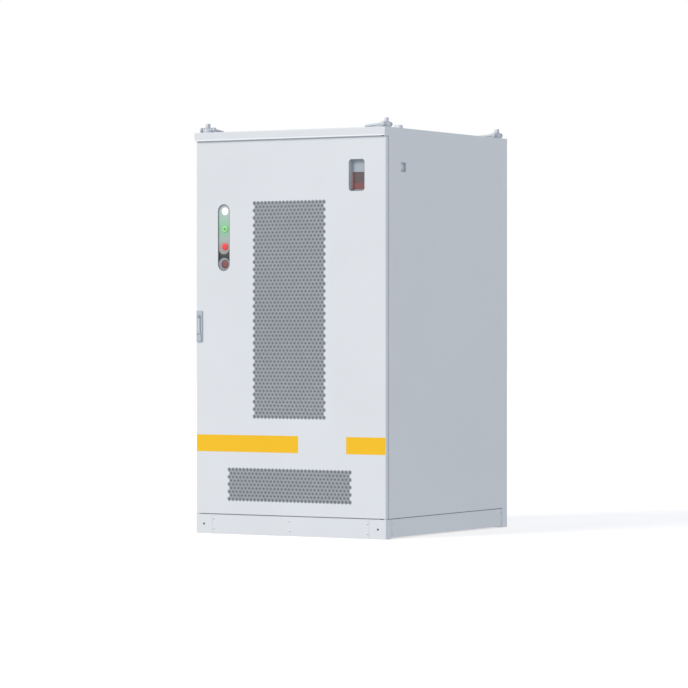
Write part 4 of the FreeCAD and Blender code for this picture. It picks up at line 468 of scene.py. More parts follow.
# %% Helpers for plates and boxes
def plate(form, outline, y_front, y_back, holes=()):
    """Adds a flat plate parallel to the door, from its outline in (x, z)."""
    filled(form, outline, holes, y_front)
    filled(form, outline, holes, y_back, True)
    for loop in [outline, *holes]:
        front = [form.verts.new((u, y_front, v)) for u, v in loop]
        back = [form.verts.new((u, y_back, v)) for u, v in loop]
        for i in range(len(loop)):
            j = (i + 1) % len(loop)
            form.faces.new([front[i], front[j], back[j], back[i]])
    bmesh.ops.remove_doubles(form, verts=form.verts, dist=0.000001)
    bmesh.ops.recalc_face_normals(form, faces=form.faces)
    return form


def cuboid(form, low, high):
    """Adds a box between two corners."""
    corners = [form.verts.new((x, y, z)) for x in (low[0], high[0]) for y in (low[1], high[1])
               for z in (low[2], high[2])]
    for face in ((0, 1, 3, 2), (4, 6, 7, 5), (0, 4, 5, 1), (2, 3, 7, 6), (0, 2, 6, 4), (1, 5, 7, 3)):
        form.faces.new([corners[i] for i in face])
    return form


print("plate and box helpers are ready")

# %% [markdown]
# The lit green lamp tints the plate and the slot walls round it. Real light from so small a lamp
# would be lost in daylight, so the tint is painted by height: green near the lamp, a little red
# near the red one, plain grey above and dark below the plate, where no light gets in.

# %% Painted lamp glow and shade of the signal panel
PANEL_LOW = 1.34
PANEL_HIGH = 1.69


def glow_and_shade_by_height(name, stops, rough):
    """Painted lamp glow and shade by height above the floor, in metres, and plain dark plastic on the
    back.
    """
    finish, tree, shader = new_finish(name)
    place = add(tree, "TexCoord")
    split = add(tree, "SeparateXYZ")
    tree.links.new(place.outputs["Object"], split.inputs["Vector"])
    height = add(tree, "MapRange", From_Min=PANEL_LOW, From_Max=PANEL_HIGH)
    tree.links.new(split.outputs["Z"], height.inputs["Value"])
    blend = add(tree, "ValToRGB")
    line = blend.color_ramp.elements
    while len(line) < len(stops):
        line.new(0.5)
    for stop, (z, colour) in zip(line, stops):
        stop.position = (z - PANEL_LOW) / (PANEL_HIGH - PANEL_LOW)
        stop.color = (*colour, 1)
    tree.links.new(height.outputs["Result"], blend.inputs["Fac"])
    behind = add(tree, "Math")
    behind.operation = "GREATER_THAN"
    behind.inputs[1].default_value = -0.6329
    tree.links.new(split.outputs["Y"], behind.inputs[0])
    sides = add(tree, "Mix")
    sides.data_type = "RGBA"
    preset(sides, B=(0.10, 0.105, 0.11, 1))
    tree.links.new(behind.outputs["Value"], sides.inputs["Factor"])
    tree.links.new(blend.outputs["Color"], sides.inputs["A"])
    tree.links.new(sides.outputs["Result"], shader.inputs["Base Color"])
    gloss(tree, shader, rough, 60.0)
    bump(tree, shader, noise(tree, 900.0), 0.00005)
    return finish


panel_painted_glow = glow_and_shade_by_height("panel_painted_glow", [(1.42, (0.36, 0.33, 0.34)), (1.466, (0.42, 0.36, 0.36)),
                                   (1.50, (0.42, 0.50, 0.47)), (1.556, (0.26, 0.60, 0.34)),
                                   (1.60, (0.40, 0.60, 0.47)), (1.66, (0.50, 0.58, 0.57))], 0.45)
# Painted shade darkens the slot walls below the plate, and painted green glow lights them near the lit
# lamp.
wall_painted_glow_and_shade = glow_and_shade_by_height("wall_painted_glow_and_shade", [(1.345, (0.16, 0.17, 0.18)), (1.41, (0.020, 0.029, 0.033)),
                                 (1.45, (0.10, 0.09, 0.09)), (1.50, (0.20, 0.26, 0.22)),
                                 (1.556, (0.12, 0.42, 0.19)), (1.65, (0.20, 0.25, 0.24))], 0.5)
print("panel tints:", panel_painted_glow.name, wall_painted_glow_and_shade.name)

# %% Finishes of the lamps and the stop button
def lamp_finish(name, colour, glow, strength):
    """A glossy lens that is also a little bright by itself."""
    finish, tree, shader = new_finish(name)
    tint(tree, shader, noise(tree, 90.0), shade(colour, 0.96), shade(colour, 1.04))
    preset(shader, Roughness=0.45, Coat_Weight=0.1)
    preset(shader, Emission_Color=(*glow, 1), Emission_Strength=strength)
    return finish


lamp_white = lamp_finish("lamp_white", (0.95, 0.96, 0.95), (1, 1, 1), 0.35)
lamp_green = lamp_finish("lamp_green", (0.16, 0.62, 0.24), (0.3, 0.9, 0.35), 0.05)
lamp_ring = lamp_finish("lamp_ring", (0.66, 0.72, 0.36), (0.8, 0.86, 0.48), 0.12)
lamp_dot = lamp_finish("lamp_dot", (0.05, 0.50, 0.14), (0.1, 0.8, 0.2), 0.05)
lamp_red = lamp_finish("lamp_red", (0.80, 0.055, 0.05), (1, 0.07, 0.06), 0.09)
stop_grey = coated("stop_grey", (0.31, 0.325, 0.35), rough=0.42, vary=0.04)
stop_red = coated("stop_red", (0.26, 0.086, 0.082), rough=0.5, vary=0.05)
print("lamp finishes:", lamp_white.name, stop_red.name)

# %% [markdown]
# The lamp plate has the slot's own round end at the top and a rounder end of its own below, so a
# dark gap stays between it and the stop button's plate. Three signal lamps stand on it: a white
# one, a lit green one with a bright ring, and a red one.

# %% Signal lamps and their plate
SLOT_X = -0.394
LAMP_X = -0.389
TRAY_Y = -0.6331
LAMP_HEIGHTS = (1.6455, 1.5555, 1.4655)
lamp_plate_form = plate(bmesh.new(), rounded_box(SLOT_X - 0.0352, 1.4265, SLOT_X + 0.0300, 1.6780,
                                                 0.0324, 12), -0.6345, TRAY_Y)
lamp_plate = finish_piece("lamp_plate", lamp_plate_form, panel_painted_glow, "door")
soften(lamp_plate, 0.0008)


def lamp(name, z, finish, reach):
    """A pilot lamp's lens: low, with a soft edge."""
    form = turned(bmesh.new(), (LAMP_X, TRAY_Y, z), "-y", [
        (0, -0.0001), (reach, -0.0001), (reach, 0.0022), (reach - 0.0006, 0.0033),
        (reach - 0.0022, 0.0041), (reach * 0.5, 0.0047), (0, 0.0048)], 48)
    return finish_piece(name, form, finish, "door", 50)


lamp_top = lamp("lamp_white_lens", LAMP_HEIGHTS[0], lamp_white, 0.0195)
lamp_middle = lamp("lamp_green_lens", LAMP_HEIGHTS[1], lamp_green, 0.0180)
lamp_low = lamp("lamp_red_lens", LAMP_HEIGHTS[2], lamp_red, 0.0185)
barrel_form = bmesh.new()
for z in LAMP_HEIGHTS:
    turned(barrel_form, (LAMP_X, TRAY_Y, z), "+y", [
        (0, 0.0002), (0.0108, 0.0002), (0.0108, 0.0205), (0.0100, 0.0215), (0.0060, 0.0215),
        (0.0060, 0.0195), (0, 0.0195)], 24)
barrels = finish_piece("lamp_barrels", barrel_form, fan_black, "door", 40)
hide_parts("status_lamps")
lit_front = (LAMP_X, -0.6372, LAMP_HEIGHTS[1])
ring_form = turned(bmesh.new(), lit_front, "-y", [
    (0.0103, 0.0), (0.0143, 0.0), (0.0143, 0.0008), (0.0136, 0.0018), (0.0110, 0.0018),
    (0.0103, 0.0012), (0.0103, 0.0)], 48)
lit_ring = finish_piece("lamp_green_ring", ring_form, lamp_ring, "door", 60)
dot_form = turned(bmesh.new(), lit_front, "-y", [
    (0, 0.0), (0.0056, 0.0), (0.0056, 0.0016), (0.0048, 0.0022), (0, 0.0024)], 32)
lit_dot = finish_piece("lamp_green_dot", dot_form, lamp_dot, "door", 60)
print("lamps:", lamp_top.name, lamp_middle.name, lamp_low.name)
print("behind and on the lamps:", barrels.name, lit_ring.name, lit_dot.name)

# %% Stop button: guard with its cup, and the head
STOP_Z = 1.3755
stop_plate_form = plate(bmesh.new(), ring_points(SLOT_X, STOP_Z, 0.0334, 64), -0.6355, TRAY_Y,
                        [ring_points(LAMP_X, STOP_Z, 0.0214, 48)])
turned(stop_plate_form, (LAMP_X, TRAY_Y, STOP_Z), "+y", [
    (0.0215, 0.0), (0.0239, 0.0), (0.0239, 0.0170), (0.0236, 0.0178), (0.0101, 0.0178),
    (0.0101, 0.0161), (0.0215, 0.0161), (0.0215, 0.0)], 48)
stop_plate = finish_piece("stop_guard", stop_plate_form, stop_grey, "door", 40)
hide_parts("stop_collar")
stop_form = turned(bmesh.new(), (LAMP_X, -0.6250, STOP_Z), "-y", [
    (0, -0.0120), (0.0100, -0.0120), (0.0100, 0.0), (0.0192, 0.0), (0.0199, 0.0008), (0.0199, 0.0072),
    (0.0192, 0.0086), (0.0175, 0.0094), (0.0100, 0.0098), (0, 0.0099)], 64)
stop_head = finish_piece("stop_head_round", stop_form, stop_red, "stop_button", 50)
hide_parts("stop_button")
print("stop button stands", STOP_Z, "m above the floor")

# %% Dark trim round the slot and the alarm window; the slot's trim is wider at the top, as painted shadow
def trim(name, outer, inner, finish):
    """A slim rubber edge behind the door's sheet."""
    form = plate(bmesh.new(), outer, -0.6380, -0.6362, [inner])
    return finish_piece(name, form, finish, "door", 40)


# The slot's trim is wider at the top: painted shadow that the slot's upper edge casts on the lamp
# plate.
slot_trim_and_shadow = trim("slot_trim_and_shadow", rounded_box(-0.4298, 1.3407, -0.3582, 1.6823, 0.0357, 12),
                 rounded_box(-0.4277, 1.3428, -0.3615, 1.6765, 0.0328, 12), gasket_grey)
window_trim = trim("window_trim", rounded_box(0.3462, 1.7337, 0.4378, 1.8933, 0.0158, 8),
                   rounded_box(0.3486, 1.7361, 0.4354, 1.8909, 0.0134, 8), stop_grey)
print("trims:", slot_trim_and_shadow.name, window_trim.name)

# %% [markdown]
# The alarm looks out of its own window: a grey case above, and a dark red lens below. The lens's
# lower rim and left edge are painted brighter, as painted light where light gets into the plastic,
# and the edge's painted glow also lifts the shade of the window's left edge. The lens is one
# rounded block; rim and edge are bars that stand a little prouder.

# %% Alarm lens
alarm_dark = coated("alarm_dark", (0.145, 0.097, 0.103), rough=0.28, vary=0.05)
# Painted light: the rim's lighter red and the edge's faint glow stand for light in the plastic and lift
# the window edge's shade.
alarm_rim_painted_light = coated("alarm_rim_painted_light", (0.27, 0.093, 0.093), rough=0.25, vary=0.05)
alarm_painted_glow = lamp_finish("alarm_painted_glow", (0.42, 0.19, 0.165), (1, 0.42, 0.36), 0.10)
alarm_top = coated("alarm_top", (0.43, 0.475, 0.53), rough=0.42, vary=0.03)
lens_form = plate(bmesh.new(), rounded_box(0.3512, 1.7438, 0.4328, 1.8293, 0.003), -0.6118, -0.5925)
alarm_lens = finish_piece("alarm_lens_block", lens_form, alarm_dark, "door")
soften(alarm_lens, 0.0012, 3)
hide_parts("alarm_lens")
rim_form = plate(bmesh.new(), rounded_box(0.3516, 1.7444, 0.4324, 1.7740, 0.003), -0.6126, -0.6110)
alarm_rim = finish_piece("alarm_lens_rim", rim_form, alarm_rim_painted_light, "door")
soften(alarm_rim, 0.0005)
edge_form = plate(bmesh.new(), rounded_box(0.3510, 1.7455, 0.3570, 1.8280, 0.0008, 4), -0.6130, -0.6100)
alarm_edge = finish_piece("alarm_lens_edge", edge_form, alarm_painted_glow, "door")
soften(alarm_edge, 0.0004)
# The sill is painted shade: a grey bar across the bottom of the window, where it lies in shade.
shade_sill_form = cuboid(bmesh.new(), (0.3464, -0.6130, 1.7337), (0.4376, -0.6119, 1.7436))
alarm_shade_sill = finish_piece("alarm_shade_sill", shade_sill_form, stop_grey, "door")
print("alarm lens:", alarm_lens.name, alarm_rim.name, alarm_edge.name, alarm_shade_sill.name)

# %% [markdown]
# The swing handle lies flat on its base, a plate with soft edges. The lever is a slim bar with a
# round end that carries the lock. It lifts on a pin between the hub's ears, and then turns the
# hub, whose spindle goes through the door to the cam.

# %% Swing handle
HUB_BACK = -0.6473
base_outline = rounded_box(HANDLE_X - 0.0165, 0.9795, HANDLE_X + 0.0165, 1.1385, 0.0035)
base_hole = ring_points(HANDLE_X, HUB_Z, 0.0064, 32)
base_form = plate(bmesh.new(), base_outline, -0.6470, DOOR_Y, [base_hole])
handle_base = finish_piece("handle_base_plate", base_form, handle_paint, "door")
soften(handle_base, 0.0016, 3)
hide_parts("handle_base")

hub_form = bmesh.new()
cuboid(hub_form, (HANDLE_X - 0.0125, -0.6515, HUB_Z - 0.0180),
       (HANDLE_X + 0.0125, HUB_BACK, HUB_Z + 0.0165))
for low, high in ((-0.0105, -0.0072), (0.0072, 0.0105)):
    cuboid(hub_form, (HANDLE_X + low, -0.6530, HUB_Z + 0.0150), (HANDLE_X + high, HUB_BACK, 1.0280))
hub = finish_piece("handle_hub_block", hub_form, handle_paint, "handle")
soften(hub, 0.0011, 3)
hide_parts("handle_hub")
pin_form = turned(bmesh.new(), (HANDLE_X - 0.0100, -0.6508, 1.0245), "+x",
                  [(0, 0), (0.0015, 0), (0.0015, 0.0200), (0, 0.0200)], 20)
turned(pin_form, (HANDLE_X, HUB_BACK, HUB_Z), "+y", [
    (0, 0), (0.0060, 0), (0.0060, 0.0317), (0.0170, 0.0317), (0.0170, 0.0333), (0.0060, 0.0333),
    (0.0060, 0.0338), (0, 0.0338)], 40)
spindle = finish_piece("handle_spindle", pin_form, zinc_plate, "handle")
print("hub and spindle:", hub.name, spindle.name)

# %% Lever and lock
LOCK_Z = 1.109
LEVER_FRONT = -0.6532
LEVER_BACK = -0.6474
lever_outline = []
for degrees in range(-40, 221, 13):
    angle = math.radians(degrees)
    lever_outline.append((HANDLE_X + 0.0085 * math.cos(angle), 1.1095 + 0.0085 * math.sin(angle)))
lever_outline += [(HANDLE_X - 0.0062, 1.0990), (HANDLE_X - 0.0062, 1.0212),
                  (HANDLE_X + 0.0062, 1.0212), (HANDLE_X + 0.0062, 1.0990)]
lever_form = plate(bmesh.new(), lever_outline, LEVER_FRONT, LEVER_BACK,
                   [ring_points(HANDLE_X, LOCK_Z, 0.0058, 32)])
for corner in lever_form.verts:
    if corner.co.z < 1.0220 and corner.co.y > -0.6480:
        corner.co.z = 1.0236
lever = finish_piece("lever_bar", lever_form, lever_paint, "lever")
soften(lever, 0.0014, 3)
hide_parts("handle_lever")
lock_form = turned(bmesh.new(), (HANDLE_X, LEVER_BACK, LOCK_Z), "-y", [
    (0, 0.0002), (0.0053, 0.0002), (0.0053, 0.0050), (0.0048, 0.0057), (0.0012, 0.0057),
    (0.0010, 0.0030), (0, 0.0030)], 36)
lock = finish_piece("lock_face", lock_form, polished_lock, "lock_plug")
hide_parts("lock_plug")
shield_form = turned(bmesh.new(), (HANDLE_X, LEVER_FRONT, LOCK_Z), "-y", [
    (0.0056, 0), (0.0079, 0), (0.0079, 0.0003), (0.0074, 0.0008), (0.0060, 0.0008), (0.0056, 0.0004),
    (0.0056, 0)], 36)
shield = finish_piece("lock_shield", shield_form, stop_grey, "lever")
print("lever and lock:", lever.name, lock.name, shield.name)

# %% [markdown]
# Each lifting ring is a swivel: a stout body turns on the bolt's shoulder, and a bow of round bar
# hinges across it on two pins. A chain of rings swept along the bow's centre line makes the bar;
# at the pins the bar ends in round eyes, which turn about the pin's own axis. The same drawing
# serves all four rings, turned so that the bows lie as they do in the photograph.

# %% Helper for round bars
def swept(form, path, radius, sides=16):
    """Adds a round bar along a path of points."""
    rows = []
    count = len(path)
    side = None
    for i, point in enumerate(path):
        ahead = (path[min(i + 1, count - 1)] - path[max(i - 1, 0)]).normalized()
        if side is None:
            side = ahead.orthogonal().normalized()
        side = (side - ahead * side.dot(ahead)).normalized()
        other = ahead.cross(side)
        rows.append([form.verts.new(point + radius * (side * math.cos(2 * math.pi * k / sides)
                                                      + other * math.sin(2 * math.pi * k / sides)))
                     for k in range(sides)])
    for first, second in zip(rows, rows[1:]):
        for k in range(sides):
            j = (k + 1) % sides
            form.faces.new([first[k], first[j], second[j], second[k]])
    form.faces.new(list(reversed(rows[0])))
    form.faces.new(rows[-1])
    return form


print("bar helper is ready")

# %% Shapes of a lifting ring
PIN_RISE = 0.017
BAR_RADIUS = 0.0066


def bow_path():
    """Centre line of the bow in its own frame: pins across Y, far end towards +X and low."""
    half = 0.0376
    reach = 0.1118
    drop = (PIN_RISE - BAR_RADIUS - 0.0006) / reach
    flat = [(0.0, 0.0335), (0.001, 0.0362), (0.005, half), (0.02, half), (0.045, half)]
    for i in range(17):
        angle = math.pi / 2 - math.pi * i / 16
        flat.append((reach - half + half * math.cos(angle), half * math.sin(angle)))
    flat += [(0.045, -half), (0.02, -half), (0.005, -half), (0.001, -0.0362), (0.0, -0.0335)]
    return [Vector((x, y, PIN_RISE - drop * x)) for x, y in flat]


def swivel_form():
    """A turned body with a waist, and a cross boss for each pin."""
    form = turned(bmesh.new(), (0, 0, 0.0004), "+z", [
        (0.0112, 0), (0.0225, 0), (0.0246, 0.0012), (0.0250, 0.0040), (0.0250, 0.0090),
        (0.0238, 0.0150), (0.0205, 0.0205), (0.0175, 0.0245), (0.0168, 0.0258), (0.0112, 0.0258),
        (0.0112, 0)], 40)
    for axis, sign in (("+y", 1), ("-y", -1)):
        turned(form, (0, sign * 0.0180, PIN_RISE), axis, [
            (0, 0), (0.0118, 0), (0.0118, 0.0082), (0.0108, 0.0092), (0.0068, 0.0092), (0.0066, 0.0134),
            (0, 0.0134)], 32)
    return form


print("points along the bow:", len(bow_path()))

# %% Lifting rings
ROOF = 2.050
RINGS = {"front_left": ((-0.528, -0.580), 90), "front_right": ((0.528, -0.580), 180),
         "rear_left": ((-0.528, 0.590), 0), "rear_right": ((0.528, 0.590), 180)}


def placed(form, corner):
    """Moves a ring's mesh from its own frame to its corner of the roof."""
    (x, y), turn = RINGS[corner]
    form.transform(Matrix.Translation((x, y, ROOF)) @ Matrix.Rotation(math.radians(turn), 4, "Z"))
    bmesh.ops.recalc_face_normals(form, faces=form.faces)
    return form


for corner in RINGS:
    body_piece = finish_piece("ring_body_" + corner, placed(swivel_form(), corner), ring_steel,
                              "swivel_" + corner, 45)
    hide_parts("swivel_" + corner)
    bow_form = swept(bmesh.new(), bow_path(), BAR_RADIUS)
    for sign, axis in ((1, "-y"), (-1, "+y")):
        turned(bow_form, (0, sign * 0.0440, PIN_RISE), axis, [
            (0, 0), (0.0112, 0), (0.0124, 0.0012), (0.0128, 0.0028), (0.0128, 0.0100), (0.0118, 0.0114),
            (0, 0.0114)], 32)
    bow = finish_piece("ring_bow_" + corner, placed(bow_form, corner), ring_steel,
                       "bail_" + corner, 50)
    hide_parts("bail_" + corner)
print("lifting rings:", len(RINGS))

# %% Bolts of the lifting rings
bolt_form = bmesh.new()
for (x, y), turn in RINGS.values():
    turned(bolt_form, (x, y, ROOF - 0.024), "+z", [
        (0, 0), (0.0072, 0), (0.0080, 0.0010), (0.0080, 0.024), (0.0109, 0.0242), (0.0109, 0.0504),
        (0.0170, 0.0506), (0.0178, 0.0512), (0.0178, 0.0520), (0.0160, 0.0534), (0, 0.0534)], 32)
    turned(bolt_form, (x, y, ROOF + 0.0286), "+z", [
        (0, 0), (0.0142, 0.0), (0.0142, 0.0186), (0.0134, 0.0200), (0.0120, 0.0205), (0.0080, 0.0205),
        (0.0074, 0.0199), (0, 0.0199)], 6)
bolts = finish_piece("ring_bolts", bolt_form, ring_steel, "cabinet", 30)
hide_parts("hoist_bolts")
print("bolts:", len(RINGS))

# %% [markdown]
# A small moulded housing stands on the roof behind the front right ring: a box with generous
# round edges. Screws with low round heads hold the plinth covers; all share one turned profile.

# %% Roof housing and plinth screws
pod_form = cuboid(bmesh.new(), (0.482, -0.430, ROOF), (0.520, -0.395, ROOF + 0.0215))
pod = finish_piece("roof_housing", pod_form, casing_paint, "cabinet")
soften(pod, 0.0055, 5)
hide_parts("roof_pod")
foot_form = cuboid(bmesh.new(), (0.4805, -0.4315, ROOF), (0.5215, -0.3935, ROOF + 0.0030))
pod_foot = finish_piece("roof_housing_foot", foot_form, seal_rubber, "cabinet")
soften(pod_foot, 0.0012)

screw_form = bmesh.new()
SCREW = [(0, -0.0019), (0.0024, -0.0019), (0.0024, 0.0), (0.0043, 0.0), (0.0045, 0.0006),
         (0.0040, 0.0016), (0.0028, 0.0022), (0.0017, 0.0023), (0.0015, 0.0012), (0, 0.0012)]
REAR_Y = 0.640
SIDE_X = 0.560
screw_spots = []
for z in (0.0255, 0.0755):
    for x in (-0.4545, 0, 0.4545):
        screw_spots += [((x, DOOR_Y, z), "-y"), ((x, REAR_Y, z), "+y")]
    for y in (-0.5745, 0, 0.5745):
        screw_spots += [((-SIDE_X, y, z), "-x"), ((SIDE_X, y, z), "+x")]
for spot, axis in screw_spots:
    turned(screw_form, spot, axis, SCREW, 20)
screws = finish_piece("plinth_screw_heads", screw_form, zinc_plate, "cabinet", 40)
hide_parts("plinth_screws")
print("housing:", pod.name, pod_foot.name, "screws:", len(screw_spots))

# %% Plugs, seam strips of painted shade, gaskets and the roof's hem of painted highlight
plug_form = bmesh.new()
for x in (-0.514, 0.514):
    for y, axis in ((-0.6375, "-y"), (0.6375, "+y")):
        turned(plug_form, (x, y, 0.049), axis, [(0, 0), (0.0054, 0), (0.0054, 0.0018), (0.0050, 0.0022),
                                                (0, 0.0022)], 28)
plugs = finish_piece("tie_hole_plugs", plug_form, fan_black, "cabinet", 40)
# Painted shade: grey strips behind the plinth's seams darken each seam.
seam_shade_form = bmesh.new()
for x in (-0.46395, 0.46285):
    for low, high in ((-0.6392, -0.6382), (0.6382, 0.6392)):
        cuboid(seam_shade_form, (x, low, 0.003), (x + 0.0011, high, 0.0975))
for y in (-0.58395, 0.58285):
    for low, high in ((-0.5592, -0.5582), (0.5582, 0.5592)):
        cuboid(seam_shade_form, (low, y, 0.008), (high, y + 0.0011, 0.0975))
gasket_form = bmesh.new()
cuboid(gasket_form, (-0.5575, -0.6372, 0.0982), (0.5315, -0.6345, 0.1004))
for low, high in ((-0.5560, -0.5490), (0.5490, 0.5560)):
    cuboid(gasket_form, (low, -0.6110, 0.0982), (high, 0.5800, 0.1017))
gaskets = finish_piece("plinth_gaskets", gasket_form, gasket_grey, "cabinet", 0)
roof_strip_form = cuboid(bmesh.new(), (-0.5575, -0.6385, 2.0028), (0.5315, -0.6345, 2.0060))
roof_strip = finish_piece("roof_gasket", roof_strip_form, collar_grey, "cabinet", 0)
# Painted highlight: a whiter strip along the fascia's lower edge.
hem_highlight_form = cuboid(bmesh.new(), (-0.5620, -0.65602, 2.0067), (0.5570, -0.6558, 2.0128))
hem_highlight = finish_piece("fascia_hem_highlight", hem_highlight_form, hem_painted_highlight, "cabinet", 0)
seam_shades = finish_piece("seam_shade_strips", seam_shade_form, tray_grey, "cabinet", 0)
print("strips and hem:", plugs.name, seam_shades.name, gaskets.name, roof_strip.name, hem_highlight.name)

# %% Boss in the side breather
boss_form = bmesh.new()
half_round = ring_points(-0.4918, 1.8552, 0.0128, 24, -math.pi / 2)[:13]
ends = [[boss_form.verts.new((x, y, z)) for y, z in half_round] for x in (0.5520, 0.5619)]
boss_form.faces.new(ends[0])
boss_form.faces.new(list(reversed(ends[1])))
for i in range(len(half_round)):
    j = (i + 1) % len(half_round)
    boss_form.faces.new([ends[0][i], ends[0][j], ends[1][j], ends[1][i]])
bmesh.ops.recalc_face_normals(boss_form, faces=boss_form.faces)
boss = finish_piece("breather_boss", boss_form, casing_paint, "cabinet")
soften(boss, 0.0010)
print("boss:", boss.name)

# %% [markdown]
# Behind the door two fans move the air: one across the coil, one for the inside. A fan's blade is
# widest and steepest near the hub and twists flat towards its tip, so it is built from a few
# sections that turn and shrink along the blade.

# %% Fan rotors
FAN_Z = 1.3915
BLADES = 5


def fan_form(start_y):
    """A turned hub with twisted blades, which get their thickness later."""
    form = turned(bmesh.new(), (0, start_y, FAN_Z), "+y", [
        (0.00606, 0.0), (0.034, 0.0), (0.0400, 0.0020), (0.0436, 0.0070), (0.0442, 0.0120),
        (0.0442, 0.0396), (0.0400, 0.0396), (0.0380, 0.0200), (0.0061, 0.0190), (0.00606, 0.0)], 48)
    for blade in range(BLADES):
        turn = 2 * math.pi * blade / BLADES
        rows = []
        for step in range(9):
            share = step / 8
            reach = 0.040 + 0.109 * share
            pitch = math.radians(38 - 20 * share)
            half = 0.034 - 0.004 * share
            lean = 0.30 * share * share
            row = []
            for k in range(7):
                across = -half + 2 * half * k / 6
                hollow = 0.004 * (1 - (across / half) ** 2)
                around = turn + lean + across * math.cos(pitch) / reach
                along = 0.020 + across * math.sin(pitch) + hollow
                row.append(form.verts.new((reach * math.sin(around), start_y + along,
                                           FAN_Z + reach * math.cos(around))))
            rows.append(row)
        for first, second in zip(rows, rows[1:]):
            for k in range(6):
                form.faces.new([first[k], first[k + 1], second[k + 1], second[k]])
    return form


for label in ("condenser_fan", "circulation_fan"):
    start_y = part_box(label)[0].y
    rotor = finish_piece(label + "_rotor", fan_form(start_y), fan_black, label, 40)
    blade_sheet = rotor.modifiers.new("blade", "SOLIDIFY")
    blade_sheet.thickness = 0.0012
    blade_sheet.offset = 0
    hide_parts(label)
    print(label, "starts at y", round(start_y, 4))

# %% [markdown]
# Small fittings finish the sides that the photograph hides. Screws hold the rear panel to its
# frame and each front plate to the rack, and a bolt sits at both ends of every link. Welded wire
# guards the inner fan, and slats cross the cold air outlet below it.

# %% Screws and bolts of the rear panel and the rack
fixing_form = bmesh.new()
for column in range(6):
    for row in range(6):
        if column in (0, 5) or row in (0, 5):
            turned(fixing_form, (0.209 * (column - 2.5), REAR_Y, 0.124 + 0.3724 * row), "+y", SCREW, 16)
BOLT = [(0, 0), (0.0078, 0), (0.0078, 0.0010), (0.0062, 0.0012), (0.0062, 0.0050), (0, 0.0054)]
MODULE_STEP = 0.190
plates = [(-1, 1.685, 1.885), (1, 1.305, 1.865)]
for side, modules in ((-1, 8), (1, 6)):
    for i in range(modules):
        low = 0.165 + MODULE_STEP * i
        plates.append((side, low, low + 0.172))
        if i + 1 < modules:
            x = 0.255 * side + (-0.090 if i % 2 else 0.090)
            for z in (low + 0.097, low + 0.265):
                turned(fixing_form, (x, -0.347, z), "-y", BOLT, 6)
for side, low, high in plates:
    for x in (0.027 * side, 0.483 * side):
        for z in (low + 0.020, high - 0.020):
            turned(fixing_form, (x, -0.343, z), "-y", SCREW, 16)
fixings = finish_piece("panel_and_rack_screws", fixing_form, zinc_plate, "cabinet", 40)
print("front plates:", len(plates), fixings.name)

# %% Wire guard of the inner fan and slats of its outlet
guard_form = bmesh.new()
for radius in (0.035, 0.061, 0.087, 0.113, 0.139, 0.166):
    hoop = ring_points(0, FAN_Z, radius, 48)
    swept(guard_form, [Vector((u, -0.4346, v)) for u, v in hoop + hoop[:1]], 0.0013, 8)
for x, z in ((0.168, 0), (0, 0.168)):
    swept(guard_form, [Vector((-x, -0.4330, FAN_Z - z)), Vector((x, -0.4330, FAN_Z + z))], 0.0016, 8)
guard = finish_piece("fan_guard", guard_form, zinc_plate, "door", 50)
slat_form = bmesh.new()
for i in range(5):
    z = 0.6530 + 0.015 * i
    cuboid(slat_form, (-0.1705, -0.4378, z), (0.1705, -0.4364, z + 0.0070))
slats = finish_piece("outlet_slats", slat_form, cooler_grey, "door", 0)
print("guard and slats:", guard.name, slats.name)

# %% [markdown]
# What is left keeps the construction model's own shape and only gets a finish: the frame, the
# panels, the roof, the inner door and the equipment. One table says which finish each named piece
# has, and the cell stops if a piece is missing from it, so nothing stays grey by mistake.

# %% Finishes of the pieces that keep their shape
FINISH_OF = {
    casing_paint: "plinth_corners plinth_covers side_panel_left side_panel_right rear_panel roof_cap"
                  " door_stiffeners",
    breather_grey: "side_breather",
    zinc_plate: "plinth_rails frame_posts frame_rails floor_pan gland_plate pivot_pins pivot_blocks"
                " rod_upper rod_lower rod_guides rod_keepers module_rack",
    seal_rubber: "door_seal",
    filter_mat: "filter_mats",
    cooler_grey: "cooling_case",
    coil_fins: "condenser_coil",
    wall_painted_glow_and_shade: "status_tray",
    alarm_top: "alarm_case",
    collar_grey: "alarm_collar",
    module_grey: "battery_modules_left battery_modules_right",
    link_orange: "module_links",
    equipment_grey: "control_box inverter",
    fan_black: "breaker_toggle",
    canister_red: "fire_canister",
    gland_black: "cable_glands",
}
finished = set()
for finish, names in FINISH_OF.items():
    for name in names.split():
        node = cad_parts[name]
        node.data.materials.clear()
        node.data.materials.append(finish)
        finished.add(name)
left = [name for name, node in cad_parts.items() if name not in finished and not node.hide_render]
if left:
    raise ValueError("no finish for " + ", ".join(sorted(left)))
print("finished as they are:", len(finished))

# %% [markdown]
# The light is that of a product picture: soft light from everywhere, and one broad light from the
# front left that makes the door brighter than the side. The camera sees pure white behind the
# object, while the light that falls on it is a cool grey. The floor stays white as well and keeps
# only a faint contact shadow.

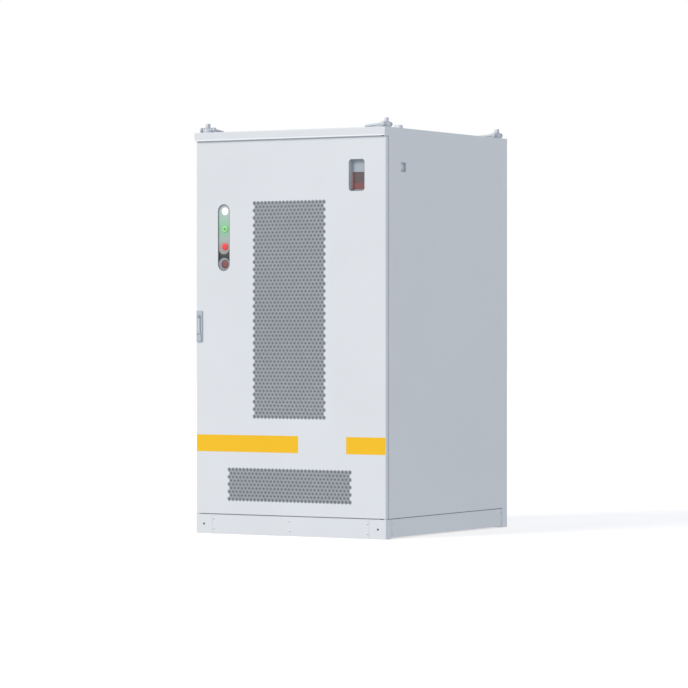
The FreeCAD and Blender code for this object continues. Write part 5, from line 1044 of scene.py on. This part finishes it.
# %% White surround
world = bpy.data.worlds.new("studio")
bpy.context.scene.world = world
world.use_nodes = True
sky = world.node_tree
for node in list(sky.nodes):
    sky.nodes.remove(node)
rays = add(sky, "LightPath")
seen = add(sky, "Math")
seen.operation = "MAXIMUM"
through = add(sky, "Math")
through.operation = "MAXIMUM"
sky.links.new(rays.outputs["Is Camera Ray"], seen.inputs[0])
sky.links.new(rays.outputs["Is Transmission Ray"], seen.inputs[1])
sky.links.new(seen.outputs[0], through.inputs[0])
sky.links.new(rays.outputs["Is Glossy Ray"], through.inputs[1])
soft = add(sky, "Background", Color=(0.83, 0.935, 1.04, 1), Strength=0.592)
plain = add(sky, "Background", Color=(1, 1, 1, 1), Strength=1.0)
choice = add(sky, "MixShader")
end = add(sky, "OutputWorld")
sky.links.new(through.outputs[0], choice.inputs[0])
sky.links.new(soft.outputs[0], choice.inputs[1])
sky.links.new(plain.outputs[0], choice.inputs[2])
sky.links.new(choice.outputs[0], end.inputs["Surface"])
print("surround:", world.name)

# %% Broad light from the front left
sun_data = bpy.data.lights.new("broad_front_light", "SUN")
sun_data.energy = 1.47
sun_data.angle = math.radians(25)
sun_data.color = (1.0, 0.935, 0.855)
sun = bpy.data.objects.new("broad_front_light", sun_data)
sun.rotation_euler = Vector((0.52, 1.0, -0.62)).to_track_quat("-Z", "Y").to_euler()
bpy.context.scene.collection.objects.link(sun)
print("light strength:", sun_data.energy)

# %% Floor
def floor_finish():
    """White to the camera, but it still takes a soft shadow; light grey to all other rays."""
    finish, tree, shader = new_finish("floor_white")
    tint(tree, shader, noise(tree, 3.0), (0.80, 0.81, 0.82), (0.84, 0.84, 0.85))
    preset(shader, Roughness=0.9, Specular_IOR_Level=0.1)
    glow = add(tree, "Emission", Color=(1, 0.92, 0.86, 1), Strength=0.5)
    bounce = add(tree, "Emission", Color=(0.93, 0.97, 1, 1), Strength=0.66)
    rays = add(tree, "LightPath")
    both = add(tree, "AddShader")
    pick = add(tree, "MixShader")
    output = [n for n in tree.nodes if n.type == "OUTPUT_MATERIAL"][0]
    tree.links.new(shader.outputs[0], both.inputs[0])
    tree.links.new(glow.outputs[0], both.inputs[1])
    tree.links.new(rays.outputs["Is Camera Ray"], pick.inputs[0])
    tree.links.new(bounce.outputs[0], pick.inputs[1])
    tree.links.new(both.outputs[0], pick.inputs[2])
    tree.links.new(pick.outputs[0], output.inputs["Surface"])
    return finish


floor_mesh = bpy.data.meshes.new("floor")
floor_mesh.from_pydata([(x, y, -0.0005) for x, y in rectangle(-30, -30, 30, 60)], [], [(0, 1, 2, 3)])
floor_mesh.materials.append(floor_finish())
floor = bpy.data.objects.new("floor", floor_mesh)
bpy.context.scene.collection.objects.link(floor)
print("floor:", floor.name)
